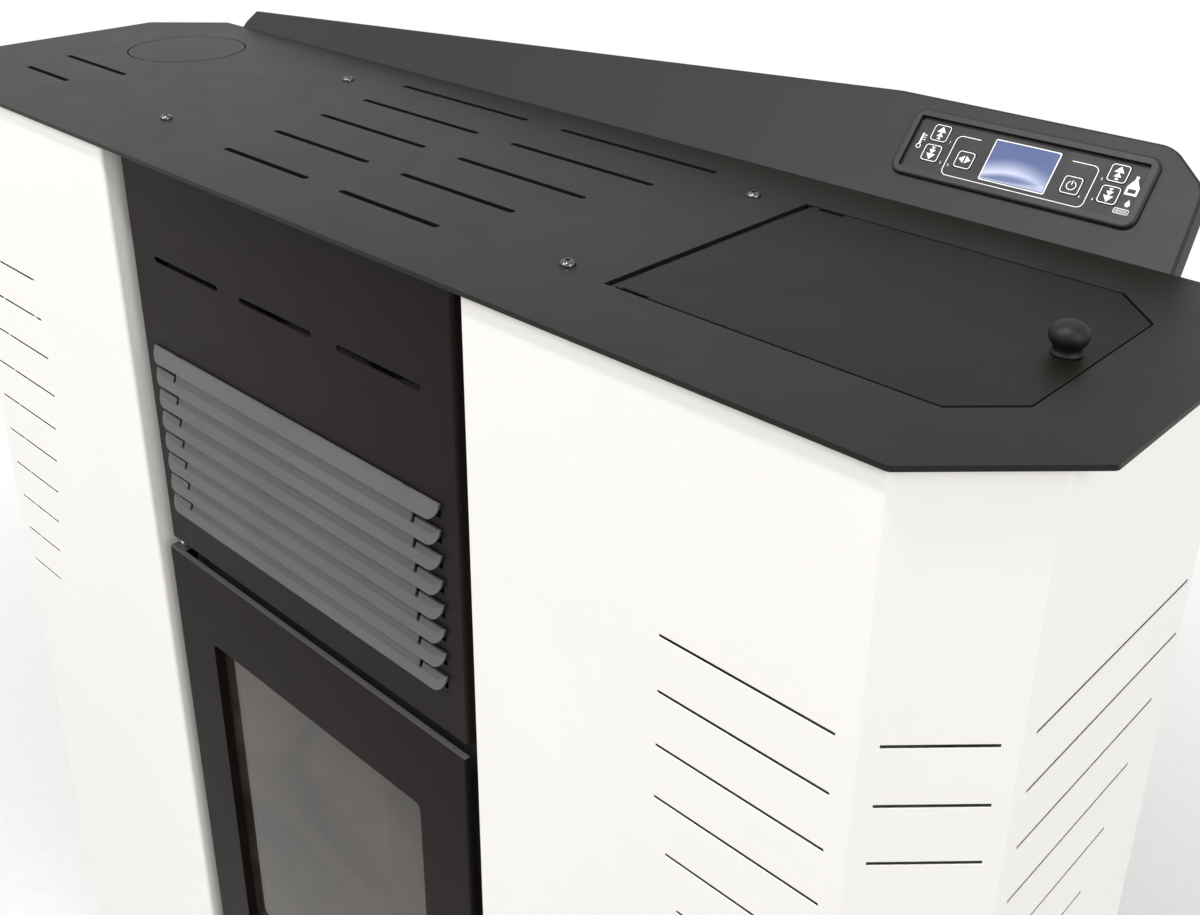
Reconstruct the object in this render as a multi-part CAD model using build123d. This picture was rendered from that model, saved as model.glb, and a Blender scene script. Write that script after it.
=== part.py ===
from build123d import *
import os
from math import cos, pi, radians, sin

# Slim corridor pellet stove. Every size is in millimetres. X runs from left to right as seen
# from the front, a depth runs back from the cover's front edge, and Z is up from the floor.

# Cover plate
cover_width = 1050.0
cover_depth = 288.0
cover_height = 1060.0
cover_sheet = 3.0
cover_front_cut = 67.0
cover_rear_cut = 52.0
cover_round = 4.0

# Vent slots in the cover
vent_rows = 5
vent_pitch = 49.3
vent_middle = 154.5
vent_inner_end = 17.6
vent_first_length = 95.0
vent_length_step = 12.5
vent_width = 5.0
flue_vent_depths = (113.0, 70.0)
flue_vent_lengths = (97.6, 68.6)

# Flue knock-out in the cover
knock_out_inset = 125.0
knock_out_rear_inset = 88.0
knock_out_radius = 51.0
knock_out_cut = 0.8
knock_out_tab = 3.0

# Cover screws
screw_bay_gap = 18.0
screw_front = 67.0
screw_rear_inset = 55.0
screw_radius = 2.5
screw_head_radius = 4.75
screw_head_height = 2.8
screw_length = 12.0
screw_hole_gap = 0.3

# Hopper lid and its opening
opening_bay_gap = 51.0
opening_end_inset = 50.0
opening_front = 60.5
opening_rear_inset = 44.0
opening_cut = 28.4
lid_gap = 1.0
lid_hinge_gap = 5.7
lid_axis_inset = 1.8
lid_axis_drop = 5.5
lid_seat_drop = 9.5
lid_pin_radius = 1.5
running_gap = 0.05
ear_thickness = 2.5
ear_inset = 1.0
hinge_bracket_thickness = 3.0
lid_knob_inset = 14.5
lid_knob_radius = 10.0
lid_knob_height = 17.0
lid_knob_neck = 8.0
gasket_inset = 12.0
gasket_width = 8.0

# Hopper
hopper_wall = 1.5
hopper_lip = 8.0
hopper_ledge = 22.0
hopper_tank_height = 287.0
hopper_neck = 30.0
hopper_outlet_left_inset = 58.0
hopper_outlet_right_inset = 105.0
hopper_outlet_half = 28.0
grille_drop = 50.0
grille_bar_radius = 2.0
grille_bars = 6
grille_rim = 6.0

# Casings
casing_setback = 3.0
casing_side_inset = 15.0
casing_fold = 54.0
casing_rear_fold = 40.0
casing_rear_flange = 25.0
casing_return = 38.0
casing_sheet = 1.5
casing_bend = 3.0
bay_half = 191.0
slot_rows = 10
slot_full_rows = 4
slot_top_drop = 148.0
slot_pitch = 35.1
slot_width = 2.0
slot_fold_gap = 12.0
slot_length = 107.0
slot_length_step = 9.3
fold_slot_margin = 7.5
side_slot_start = 69.0
side_slot_rear_margin = 6.5
side_slot_step = 17.0

# Base, feet and rear panel
base_height = 30.0
base_sheet = 2.0
base_bay_setback = 12.0
base_skirt_inset = 22.0
base_skirt_height = 14.0
foot_end_inset = 95.0
foot_depth_inset = 66.0
foot_radius = 20.0
foot_pad = 10.0
foot_stud_radius = 5.0
foot_nut = 8.0
foot_nut_radius = 9.0
foot_stud_rise = 14.0
foot_hole_gap = 0.5
rear_sheet = 1.5
rear_plate_margin = 24.0
rear_edge_gap = 4.0
rear_vent_gap = 39.0
rear_vent_length = 100.0

# Console plate behind the cover
console_angle = 48.2
console_left_inset = 78.0
console_right_inset = 71.0
console_low = 19.5
console_high = 75.0
console_flat_length = 209.0
console_left_cut = 6.0
console_right_cut = 26.0
console_right_drop = 21.4
console_right_lean = 4.0
console_sheet = 2.0
console_return = 14.0
console_skirt = 25.0

# Display in the console
display_inset = 110.5
display_up = 41.4
bezel_width = 160.0
bezel_height = 47.0
bezel_rise = 3.0
bezel_round = 8.0
bezel_lip = 5.5
keypad_border = 2.5
keypad_thickness = 3.0
lens_width = 44.0
lens_height = 30.0
lens_thickness = 2.4
key_size = 12.0
key_round = 2.0
key_gap = 0.2
key_rise = 0.3
key_flange = 1.0
key_flange_border = 0.8
key_outer_column = 58.0
key_inner_column = 35.0
key_upper_row = 9.5
key_lower_row = -4.7
key_inner_row = -4.3
board_drop = 7.0
board_thickness = 1.6
board_margin = 3.0

# Bay walls that carry the cover and the firebox
wall_sheet = 2.0
wall_front = 30.0
wall_flange = 26.0
wall_tab = 31.0
wall_tab_length = 24.0
wall_gap = 2.0

# Front panels, grille and door
panel_depth = 10.0
panel_side_gap = 14.0
panel_sheet = 1.5
panel_bottom_drop = 321.3
front_gap = 8.2
panel_slot_drop = 78.3
panel_slot_length = 80.0
panel_slot_space = 26.0
panel_slot_width = 4.0
grille_top_drop = 149.3
blade_count = 8
blade_pitch = 18.0
blade_height = 11.2
blade_reach = 4.6
blade_sheet = 1.5
blade_side_gap = 17.0
blade_round = 9.5
blade_flange = 3.2
grille_strip = 8.0
notch_inset = 24.5
notch_width = 3.0
notch_height = 4.4
grille_slot_edge = 1.0
door_depth = 6.5
door_frame = 8.0
door_height = 440.0
door_bevel = 2.0
window_side_border = 49.8
window_border = 70.0
window_round = 5.0
glass_thickness = 4.0
glass_lap = 7.0
seal_ring_gap = 11.0
seal_ring_width = 11.0
seal_ring_depth = 6.5
seal_thickness = 6.0
clip_length = 20.0
clip_sheet = 1.5
door_axis_inset = 8.0
door_axis_depth = 15.5
door_pin_radius = 3.2
door_pin_length = 30.0
door_boss_height = 20.0
door_boss_half = 8.0
hinge_plate = 4.0

# Door latch
latch_rise = 134.5
latch_inset = 21.0
latch_spindle_radius = 4.0
latch_knob_radius = 15.0
latch_knob_height = 24.0
latch_neck = 8.0
latch_hook_reach = 20.0
latch_hook_half = 4.0
latch_hook_sheet = 4.0
keeper_sheet = 2.0
keeper_gap = 1.0
keeper_inset = 15.0
keeper_height = 24.0

# Ash drawer and lower panel
drawer_height = 100.0
drawer_gap = 6.0
drawer_sheet = 3.0
drawer_pan_rear_gap = 5.5
drawer_pan_wall = 2.0
drawer_pan_height = 88.0
drawer_pan_rise = 4.0
drawer_grip_width = 80.0
drawer_grip_height = 10.0
runner_sheet = 2.0
runner_lap = 12.0
runner_gap = 0.3
runner_leg = 30.0
runner_length = 200.0

# Firebox
firebox_plate = 3.0
firebox_side_gap = 41.0
firebox_rear_gap = 61.5
firebox_sill = 5.5
firebox_head = 25.5
firebox_front_gap = 5.0
seal_land = 5.0
ash_slot_inset = 40.0
ash_slot = (40.0, 68.0)
lining_thickness = 5.0
lining_gap = 2.0
lining_rib = 3.0
lining_rib_pitch = 28.0
side_lining_height = 360.0
baffle_thickness = 8.0
baffle_front = 62.0

# Burner
pot_half = 50.0
pot_rear_gap = 29.0
pot_wall = 4.0
pot_drop = 34.0
pot_rise = 42.0
pot_flange = 6.0
pot_flange_thickness = 3.0
pot_gap = 1.0
pot_hole_radius = 2.5
pot_holes = 5
pot_hole_pitch = 16.0
seat_side_rim = 25.0
seat_rim = 10.0
seat_wall = 3.0
seat_height = 42.0
igniter_radius = 5.0
igniter_offset = 25.0
igniter_rise = 24.0
igniter_reach = 62.0
air_passage_radius = 12.0
air_passage_wall = 2.0

# Heat exchanger and hot air path
exchanger_front = 60.0
exchanger_head = 150.0
exchanger_tube_radius = 15.0
exchanger_tube_wall = 1.5
exchanger_columns = 5
exchanger_column_pitch = 55.0
exchanger_row_drops = (120.0, 45.0)
hood_wall = 1.5
hood_margin = 4.0
duct_side_gap = 20.0
duct_wall = 1.5
fan_box_height = 118.0

# Room fan
fan_box_reach = 40.0
fan_rear_gap = 41.5
fan_axis_rise = 66.0
fan_mouth_half = 30.0
fan_mouth_inset = 16.0
fan_intake = (40.0, 20.0)
fan_radius = 30.0
fan_shaft_radius = 4.0
fan_blades = 14
fan_blade_sheet = 1.5
fan_blade_width = 9.0
fan_disc = 2.0
fan_end_gap = 4.0
fan_motor_radius = 28.0
fan_motor_length = 40.0

# Smoke extractor
smoke_offset = 15.0
smoke_rise = 60.0
smoke_bay_gap = 39.0
smoke_width = 60.0
smoke_radius = 72.0
smoke_wall = 2.0
smoke_inlet_radius = 30.0
smoke_duct_half = 33.0
impeller_radius = 60.0
impeller_blades = 8
impeller_blade_sheet = 2.0
impeller_gap = 6.0
impeller_hub_radius = 12.0
impeller_shaft_radius = 4.0
smoke_motor_radius = 34.0
smoke_motor_length = 62.0
smoke_riser_offset = 24.0
smoke_riser_depth = 40.0

# Flue and combustion air
flue_radius = 40.0
flue_wall = 1.5
flue_rise = 120.0
flue_stub = 32.0
flue_hole_gap = 2.0
collar_rise = 4.0
collar_width = 2.5
flue_tee_height = 130.0
intake_radius = 25.0
intake_wall = 1.5
intake_bay_gap = 27.0
intake_rise = 45.0
intake_stub = 30.0
intake_hole_gap = 1.5
air_box_depth = 102.0
air_box_rear_gap = 66.0
air_box_half = 35.0
air_box_wall = 2.0
air_box_bay_gap = 54.0

# Auger
auger_tilt = 28.0
auger_bay_gap = 35.0
auger_side_gap = 23.8
auger_offset = 5.0
chute_drop = 280.0
auger_tube_radius = 32.0
auger_tube_wall = 2.0
auger_end_plate = 4.0
auger_shaft_radius = 7.0
auger_flight_gap = 2.0
auger_flight_sheet = 2.5
auger_pitch = 45.0
gear_case = 46.0
gear_case_length = 40.0
gear_motor_radius = 25.0
gear_motor_length = 38.0
chute_width = 44.0
chute_wall = 1.5
chute_end_x = 62.0
chute_height = 48.0
chute_slope = 0.9
chute_mouth = 46.0

# Electrical parts on the rear panel
inlet_x = 330.0
inlet_rise = 88.0
inlet_width = 30.0
inlet_height = 24.0
inlet_body = 26.0
inlet_flange = 5.0
inlet_flange_sheet = 2.5
inlet_socket_wall = 3.0
switch_width = 24.0
switch_height = 20.0
switch_wall = 2.0
rocker_gap = 0.4
rocker_pin_radius = 1.5
rocker_proud = 2.5
rocker_tilt = 7.0
rocker_axis_inset = 2.0
control_bay_gap = 169.0
control_drop = 330.0
control_width = 150.0
control_height = 120.0
control_standoff = 10.0

# ---- Worked out from the sizes above ----
console_up = (0.0, cos(radians(console_angle)), sin(radians(console_angle)))
console_out = (0.0, -sin(radians(console_angle)), cos(radians(console_angle)))
rear_reach = console_high * console_up[1] - console_return * console_out[1]
front_reach = latch_neck + latch_knob_height - door_depth
front_y = (front_reach - cover_depth - rear_reach) / 2

cover_under = cover_height - cover_sheet
casing_side = cover_width / 2 - casing_side_inset
casing_rear = cover_depth - rear_sheet
base_top = base_height + base_sheet
rear_half = casing_side - casing_rear_fold - rear_edge_gap
slot_outer_x = casing_side - casing_fold - slot_fold_gap
side_slot_first_end = casing_rear - casing_rear_fold - side_slot_rear_margin
foot_x = cover_width / 2 - foot_end_inset
foot_depths = (foot_depth_inset, cover_depth - foot_depth_inset)
knock_out_x = knock_out_inset - cover_width / 2
knock_out_depth = cover_depth - knock_out_rear_inset
screw_x = bay_half + screw_bay_gap
screw_depths = (screw_front, cover_depth - screw_rear_inset)

opening_left = bay_half + opening_bay_gap
opening_right = cover_width / 2 - opening_end_inset
opening_rear = cover_depth - opening_rear_inset
lid_left = opening_left + lid_hinge_gap
lid_right = opening_right - lid_gap
lid_front = opening_front + lid_gap
lid_rear = opening_rear - lid_gap
lid_axis_x = lid_left + lid_axis_inset
lid_axis_z = cover_height - lid_axis_drop
lid_seat = cover_height - lid_seat_drop

console_left = console_left_inset - cover_width / 2
console_right = cover_width / 2 - console_right_inset
console_rise_end = console_right - console_flat_length
display_x = console_right - display_inset

panel_half = bay_half - panel_side_gap
blade_half = panel_half - blade_side_gap
notch_x = blade_half - notch_inset
door_top = cover_height - panel_bottom_drop - front_gap
door_bottom = door_top - door_height
door_back = door_depth + door_frame
door_axis_x = door_axis_inset - panel_half
window_half = panel_half - window_side_border
window_top = door_top - window_border
window_bottom = door_bottom + window_border
seal_front = door_back + seal_ring_depth
seal_face = seal_front + seal_thickness
latch_z = door_bottom + latch_rise
latch_x = panel_half - latch_inset
keeper_x = panel_half - keeper_inset
drawer_top = door_bottom - front_gap
drawer_bottom = drawer_top - drawer_height
pan_bottom = drawer_bottom + drawer_pan_rise
lower_panel_top = drawer_bottom - drawer_gap
wall_outer = bay_half
wall_inner = bay_half - wall_sheet

firebox_half = bay_half - firebox_side_gap
firebox_front_half = bay_half - firebox_front_gap
firebox_rear = casing_rear - firebox_rear_gap
firebox_back_inner = firebox_rear - firebox_plate
firebox_floor = door_bottom - firebox_sill
firebox_top = door_top - firebox_head
floor_top = firebox_floor + firebox_plate
ash_slot_half = firebox_half - ash_slot_inset
lining_face = firebox_back_inner - lining_thickness - lining_rib
pot_rear = lining_face - pot_rear_gap
pot_front = pot_rear - 2 * pot_half
pot_middle = pot_rear - pot_half
seat_half = pot_half + seat_side_rim
seat_front = pot_front - seat_rim
seat_rear = pot_rear + seat_rim
seat_top = floor_top + seat_height
igniter_depth = pot_middle + igniter_offset
igniter_z = floor_top + igniter_rise
exchanger_top = cover_height - exchanger_head
exchanger_rows = [exchanger_top - drop for drop in exchanger_row_drops]

duct_half = firebox_half - duct_side_gap
duct_bottom = base_top + fan_box_height
fan_axis_depth = casing_rear - fan_rear_gap
fan_axis_z = base_top + fan_axis_rise
fan_box_front = fan_axis_depth - fan_box_reach
fan_length = 2 * (duct_half - duct_wall - fan_end_gap)
drawer_pan_half = firebox_half
drawer_pan_depth = fan_box_front - drawer_pan_rear_gap - door_depth - drawer_sheet

smoke_axis_depth = pot_middle + smoke_offset
smoke_axis_z = firebox_floor + smoke_rise
smoke_right = -bay_half - smoke_bay_gap
smoke_left = smoke_right - smoke_width
smoke_riser_front = smoke_axis_depth + smoke_riser_offset
smoke_riser_rear = smoke_riser_front + smoke_riser_depth
flue_z = smoke_axis_z + flue_rise
intake_x = bay_half + intake_bay_gap
intake_z = firebox_floor + intake_rise
air_box_right = bay_half + air_box_bay_gap
air_box_rear = cover_depth - air_box_rear_gap
air_box_front = air_box_rear - air_box_depth

auger_top_x = bay_half + auger_bay_gap
auger_top_z = seat_top + chute_drop
auger_depth = pot_middle + auger_offset
auger_run = (casing_side - casing_sheet - auger_side_gap - auger_top_x) / cos(radians(auger_tilt))
auger_length = auger_run - gear_case_length - gear_motor_length
hopper_shoulder = cover_under - hopper_tank_height
hopper_outlet_top = auger_top_z + hopper_neck
hopper_outlet_x = (opening_left + hopper_outlet_left_inset, opening_right - hopper_outlet_right_inset)
hopper_outlet_depth = (auger_depth - hopper_outlet_half, auger_depth + hopper_outlet_half)

inlet_z = base_top + inlet_rise
switch_x = inlet_x + (inlet_width + switch_width) / 2 + inlet_flange + 1.0
control_x = -bay_half - control_bay_gap
control_z = cover_height - control_drop


# ---- Building blocks ----
def back(depth):
    """Y of a depth behind the cover's front edge."""
    return front_y + depth


def block(x, depth, z):
    """Rectangular block between two limits on each axis."""
    centre = (sum(x) / 2, back(sum(depth) / 2), sum(z) / 2)
    return Pos(*centre) * Box(x[1] - x[0], depth[1] - depth[0], z[1] - z[0])


def both_sides(x_low, x_high, depth, z):
    """The same block on the right and on the left."""
    return block((x_low, x_high), depth, z) + block((-x_high, -x_low), depth, z)


def plan_face(points):
    """Flat face at floor level from (x, depth) points."""
    return make_face(Polyline(*[(x, back(d)) for x, d in points], close=True))


def plan_prism(points, z):
    """Upright prism from (x, depth) points between two heights."""
    return raise_face(plan_face(points), z)


def raise_face(face, z):
    return extrude(Pos(0, 0, z[0]) * face, amount=z[1] - z[0], dir=(0, 0, 1))


def front_prism(points, depth):
    """Prism from (x, z) points that runs back between two depths."""
    line = Polyline(*[(x, back(depth[0]), z) for x, z in points], close=True)
    return extrude(make_face(line), amount=depth[1] - depth[0], dir=(0, 1, 0))


def side_prism(points, x):
    """Prism from (depth, z) points that runs across between two widths."""
    line = Polyline(*[(x[0], back(d), z) for d, z in points], close=True)
    return extrude(make_face(line), amount=x[1] - x[0], dir=(1, 0, 0))


def rod(x, depth, z, radius, length, axis="Z"):
    """Cylinder that starts at a point and runs along an axis."""
    turns = {"X": Rot(0, 90, 0), "Y": Rot(-90, 0, 0), "Z": Rot(0, 0, 0)}
    solid = Cylinder(radius, length, align=(Align.CENTER, Align.CENTER, Align.MIN))
    return Pos(x, back(depth), z) * turns[axis] * solid


def pipe(x, depth, z, radius, wall, length, axis="Z"):
    """Open tube given by its outer radius and its wall."""
    return rod(x, depth, z, radius, length, axis) - rod(x, depth, z, radius - wall, length, axis)


def window_frame(outer, inner, depth):
    """Upright frame: outer and inner are (half width, bottom, top)."""
    body = block((-outer[0], outer[0]), depth, (outer[1], outer[2]))
    return body - block((-inner[0], inner[0]), depth, (inner[1], inner[2]))


def offset_path(points, gap):
    """Open path moved to its left by gap, with its corners kept sharp."""
    normals = []
    for (x0, y0), (x1, y1) in zip(points, points[1:]):
        length = ((x1 - x0) ** 2 + (y1 - y0) ** 2) ** 0.5
        normals.append(((y0 - y1) / length, (x1 - x0) / length))
    moved = []
    for i, (x, y) in enumerate(points):
        before = normals[max(i - 1, 0)]
        after = normals[min(i, len(normals) - 1)]
        mx, my = before[0] + after[0], before[1] + after[1]
        scale = gap / (mx * before[0] + my * before[1])
        moved.append((x + mx * scale, y + my * scale))
    return moved


def folded_sheet(points, sheet, bend, z):
    """Upright sheet folded in plan: its outer face follows the points, turning left."""
    outer = FilletPolyline(*[(x, back(d)) for x, d in points], radius=bend)
    inner_points = offset_path(points, sheet)
    inner = FilletPolyline(*[(x, back(d)) for x, d in inner_points], radius=bend - sheet)
    ends = [Line(outer @ 0, inner @ 0), Line(outer @ 1, inner @ 1)]
    return raise_face(make_face([outer, inner] + ends), z)


def round_uprights(solid, radius):
    """Round the vertical corners of a plate."""
    return fillet(solid.edges().filter_by(Axis.Z), radius)


def knob(radius, height, neck_radius, neck):
    """Mushroom knob on a neck, standing on the local origin along +Z."""
    head = height - neck
    outline = Polyline((0, 0), (neck_radius, 0), (neck_radius * 0.8, neck))
    cap = Spline((neck_radius * 0.8, neck), (radius, neck + head * 0.5), (0, height),
                 tangents=[(1, 0.15), (-1, 0)], tangent_scalars=[1.4, 1.2])
    axis_line = Line((0, height), (0, 0))
    profile = make_face([outline, cap, axis_line])
    return revolve(Plane.XZ * profile, Axis.Z)


def single(shape):
    """The shape as one solid where it is one."""
    solids = shape.solids()
    return solids[0] if len(solids) == 1 else Compound(children=list(solids))


# ---- Cover and hopper lid ----
def corner_cut_outline(left, right, near, far, cut):
    """Rectangle in plan with its two right corners cut at 45 degrees."""
    return [(left, near), (right - cut, near), (right, near + cut),
            (right, far - cut), (right - cut, far), (left, far)]


def opening_outline(grow):
    """Outline of the lid opening, grown all round."""
    cut = opening_cut + grow * (2 - 2 ** 0.5)
    return corner_cut_outline(opening_left - grow, opening_right + grow,
                              opening_front - grow, opening_rear + grow, cut)


def cover_outline():
    half = cover_width / 2
    a, b = cover_front_cut, cover_rear_cut
    right = [(half - a, 0), (half, a), (half, cover_depth - b), (half - b, cover_depth)]
    return right + [(-x, d) for x, d in reversed(right)]


def top_cover():
    z = (cover_under, cover_height)
    plate = round_uprights(plan_prism(cover_outline(), z), cover_round)
    cuts = [plan_prism(opening_outline(0), z)]
    for row in range(vent_rows):
        depth = vent_middle + (row - (vent_rows - 1) / 2) * vent_pitch
        length = vent_first_length + row * vent_length_step
        span = (depth - vent_width / 2, depth + vent_width / 2)
        cuts.append(both_sides(vent_inner_end, vent_inner_end + length, span, z))
    for depth, length in zip(flue_vent_depths, flue_vent_lengths):
        cuts.append(block((knock_out_x - length / 2, knock_out_x + length / 2),
                          (depth - vent_width / 2, depth + vent_width / 2), z))
    for x in (-screw_x, screw_x):
        for depth in screw_depths:
            cuts.append(rod(x, depth, cover_under, screw_radius + screw_hole_gap, cover_sheet))
    ring = pipe(knock_out_x, knock_out_depth, cover_under, knock_out_radius, knock_out_cut,
                cover_sheet)
    tab = block((knock_out_x - knock_out_tab / 2, knock_out_x + knock_out_tab / 2),
                (knock_out_depth - knock_out_radius, knock_out_depth + knock_out_radius), z)
    cuts.append(ring - tab)
    return plate - cuts


def top_cover_screws():
    screws = []
    for x in (-screw_x, screw_x):
        for depth in screw_depths:
            shank = rod(x, depth, cover_height - screw_length, screw_radius, screw_length)
            head = Pos(x, back(depth), cover_height) * Cone(
                screw_head_radius, screw_head_radius * 0.62, screw_head_height,
                align=(Align.CENTER, Align.CENTER, Align.MIN))
            socket = Pos(x, back(depth), cover_height + screw_head_height * 0.4) * extrude(
                RegularPolygon(1.6, 6), amount=screw_head_height)
            screws.append(shank + head - socket)
    return screws


def lid_ear(depth):
    """Lug under the lid's hinge edge that holds its pin."""
    return block((lid_axis_x - lid_axis_inset - 0.4, lid_axis_x + 4.0),
                 (depth, depth + ear_thickness), (cover_under - 5.0, cover_under))


def ear_depths():
    return (lid_front + ear_inset, lid_rear - ear_inset - ear_thickness)


def hopper_lid():
    outline = corner_cut_outline(lid_left, lid_right, lid_front, lid_rear, opening_cut)
    lid = plan_prism(outline, (cover_under, cover_height))
    for depth in ear_depths():
        lid += lid_ear(depth)
    return lid + lid_pins()


def bracket_depths():
    gap = (hopper_lip - hopper_wall - hinge_bracket_thickness) / 2
    near = opening_front - hopper_lip + hopper_wall + gap
    far = opening_rear + hopper_lip - hopper_wall - gap - hinge_bracket_thickness
    return (near, far)


def lid_hinge_brackets():
    brackets = []
    for depth in bracket_depths():
        plate = block((lid_axis_x - 5.0, lid_axis_x + 5.0),
                      (depth, depth + hinge_bracket_thickness), (lid_seat, cover_under))
        hole = rod(lid_axis_x, depth, lid_axis_z, lid_pin_radius + running_gap,
                   hinge_bracket_thickness, "Y")
        brackets.append(plate - hole)
    return brackets


def lid_pins():
    near, far = bracket_depths()
    near_ear, far_ear = ear_depths()
    front_pin = rod(lid_axis_x, near, lid_axis_z, lid_pin_radius,
                    near_ear + ear_thickness - near, "Y")
    rear_pin = rod(lid_axis_x, far_ear, lid_axis_z, lid_pin_radius,
                   far + hinge_bracket_thickness - far_ear, "Y")
    return front_pin + rear_pin


def lid_gasket():
    z = (lid_seat, cover_under)
    return plan_prism(opening_outline(-gasket_inset), z) - plan_prism(
        opening_outline(-gasket_inset - gasket_width), z)


def lid_knob():
    x = lid_right - lid_knob_inset
    middle = (lid_front + lid_rear) / 2
    return Pos(x, back(middle), cover_height) * knob(
        lid_knob_radius, lid_knob_height, lid_knob_neck, lid_knob_height * 0.22)


# ---- Hopper and auger ----
def ring_walls(outer, inner, z):
    """Straight walls between two outlines, one for each side, mitred at the corners."""
    walls = []
    for i in range(len(outer)):
        after = (i + 1) % len(outer)
        walls.append(plan_prism([outer[i], outer[after], inner[after], inner[i]], z))
    return walls


def funnel_walls():
    """Sloping walls from the hopper's shoulder to its outlet, mitred at the corners."""
    outlines = []
    for shrink in (0.0, hopper_wall):
        x0, x1 = hopper_outlet_x
        d0, d1 = hopper_outlet_depth
        neck = corner_cut_outline(x0 + shrink, x1 - shrink, d0 + shrink, d1 - shrink,
                                  hopper_lip - shrink)
        outlines.append((opening_outline(hopper_lip - shrink), neck))
    (top_outer, neck_outer), (top_inner, neck_inner) = outlines
    walls = []
    for i in range(len(top_outer)):
        after = (i + 1) % len(top_outer)
        top = [top_outer[i], top_outer[after], top_inner[after], top_inner[i]]
        neck = [neck_outer[i], neck_outer[after], neck_inner[after], neck_inner[i]]
        walls.append(loft([Pos(0, 0, hopper_shoulder) * plan_face(top),
                           Pos(0, 0, hopper_outlet_top) * plan_face(neck)], ruled=True))
    return walls


def hopper():
    """Hopper of folded walls: upright tank, lid ledge, sloping funnel and hinge brackets."""
    inside = opening_outline(hopper_lip - hopper_wall)
    walls = ring_walls(opening_outline(hopper_lip), inside, (hopper_shoulder, cover_under))
    ledge = ring_walls(inside, opening_outline(-hopper_ledge), (lid_seat - hopper_wall, lid_seat))
    return walls + ledge + funnel_walls() + lid_hinge_brackets()


def hopper_grille():
    """Guard in the hopper's mouth: a mitred rim, bars across it and one bar under them."""
    z_top = lid_seat - grille_drop
    rim_z = (z_top - 4 * grille_bar_radius, z_top)
    outer = opening_outline(hopper_lip - hopper_wall)
    inner = opening_outline(hopper_lip - hopper_wall - grille_rim)
    inside = plan_prism(inner, rim_z)
    left = opening_left - hopper_lip + hopper_wall
    right = opening_right + hopper_lip - hopper_wall
    near = opening_front - hopper_lip + hopper_wall
    far = opening_rear + hopper_lip - hopper_wall
    step = (right - left) / (grille_bars + 1)
    bars = []
    for i in range(grille_bars):
        bar = rod(left + step * (i + 1), near, z_top - grille_bar_radius, grille_bar_radius,
                  far - near, "Y")
        bars.append(bar & inside)
    under = rod(left, (near + far) / 2, z_top - 3 * grille_bar_radius, grille_bar_radius,
                right - left, "X")
    return ring_walls(outer, inner, rim_z) + bars + [under & inside]


auger_frame = (Pos(auger_top_x, back(auger_depth), auger_top_z) * Rot(0, auger_tilt, 0)
               * Rot(0, 90, 0))


def auger_rod(radius, start, length):
    """Cylinder along the auger, which falls from its top end to the right."""
    return auger_frame * Pos(0, 0, start) * Cylinder(
        radius, length, align=(Align.CENTER, Align.CENTER, Align.MIN))


def auger_tube():
    inner = auger_tube_radius - auger_tube_wall
    x0, x1 = hopper_outlet_x
    d0, d1 = hopper_outlet_depth
    neck_foot = auger_top_z - (x1 - auger_top_x) * 0.4
    neck = block((x0, x1), (d0, d1), (neck_foot, hopper_outlet_top))
    body = auger_rod(auger_tube_radius, 0, auger_length) + neck
    wall = auger_tube_wall
    body -= block((x0 + wall, x1 - wall), (d0 + wall, d1 - wall), (neck_foot, hopper_outlet_top))
    body -= auger_rod(inner, auger_end_plate, auger_length - 2 * auger_end_plate)
    body -= auger_rod(auger_shaft_radius + running_gap, -1, auger_length + 2)
    drop_x = (auger_top_x + 8.0, auger_top_x + 8.0 + chute_width * 0.8)
    drop_depth = (auger_depth - chute_width / 2 + chute_wall, auger_depth + chute_width / 2 - chute_wall)
    body -= block(drop_x, drop_depth, (auger_top_z - 2 * auger_tube_radius, auger_top_z - 10.0))
    return body


def auger_screw():
    shaft = auger_rod(auger_shaft_radius, 0, auger_length + 12.0)
    start = auger_end_plate + 6.0
    run = auger_length - 2 * start
    radius = auger_tube_radius - auger_tube_wall - auger_flight_gap
    path = Helix(pitch=auger_pitch, height=run, radius=auger_shaft_radius)
    width = radius - auger_shaft_radius + 1.5
    middle = (auger_shaft_radius - 1.5 + radius) / 2
    section = Plane(origin=(middle, 0, 0), x_dir=(1, 0, 0), z_dir=(0, 1, 0)) * Rectangle(
        width, auger_flight_sheet)
    flight = sweep(section, path=path, is_frenet=True)
    return shaft + auger_frame * Pos(0, 0, start) * flight


def auger_motor():
    start = auger_length
    case = auger_frame * Pos(0, 0, start + gear_case_length / 2) * Box(
        gear_case, gear_case, gear_case_length)
    case -= auger_rod(auger_shaft_radius + running_gap, start, 13.0)
    return case + auger_rod(gear_motor_radius, start + gear_case_length, gear_motor_length)


def chute_outlet():
    """Left and right of the auger tube's outlet, and the height the chute starts at."""
    left = auger_top_x + 8.0
    return left, left + chute_width * 0.8, auger_top_z - auger_tube_radius * 0.6


def chute_floor(x):
    """Height of the chute's underside, which falls to the left at its slope."""
    left, right, top = chute_outlet()
    return top - chute_height - (right - x) * chute_slope


def chute_roof(x):
    return chute_floor(x) + chute_mouth


def chute_body(shrink):
    """Inclined box from under the auger's outlet to the left into the firebox."""
    left, right, top = chute_outlet()
    half = chute_width / 2 - shrink
    lift = shrink * (1 + chute_slope ** 2) ** 0.5
    a, b = left + shrink, right - shrink
    points = [(a, top), (b, top), (b, chute_floor(b) + lift),
              (chute_end_x, chute_floor(chute_end_x) + lift),
              (chute_end_x, chute_roof(chute_end_x) - lift), (a, chute_roof(a) - lift)]
    return front_prism(points, (auger_depth - half, auger_depth + half))


def pellet_chute():
    return chute_body(0) - chute_body(chute_wall) - auger_rod(auger_tube_radius, 0, auger_length)


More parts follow.
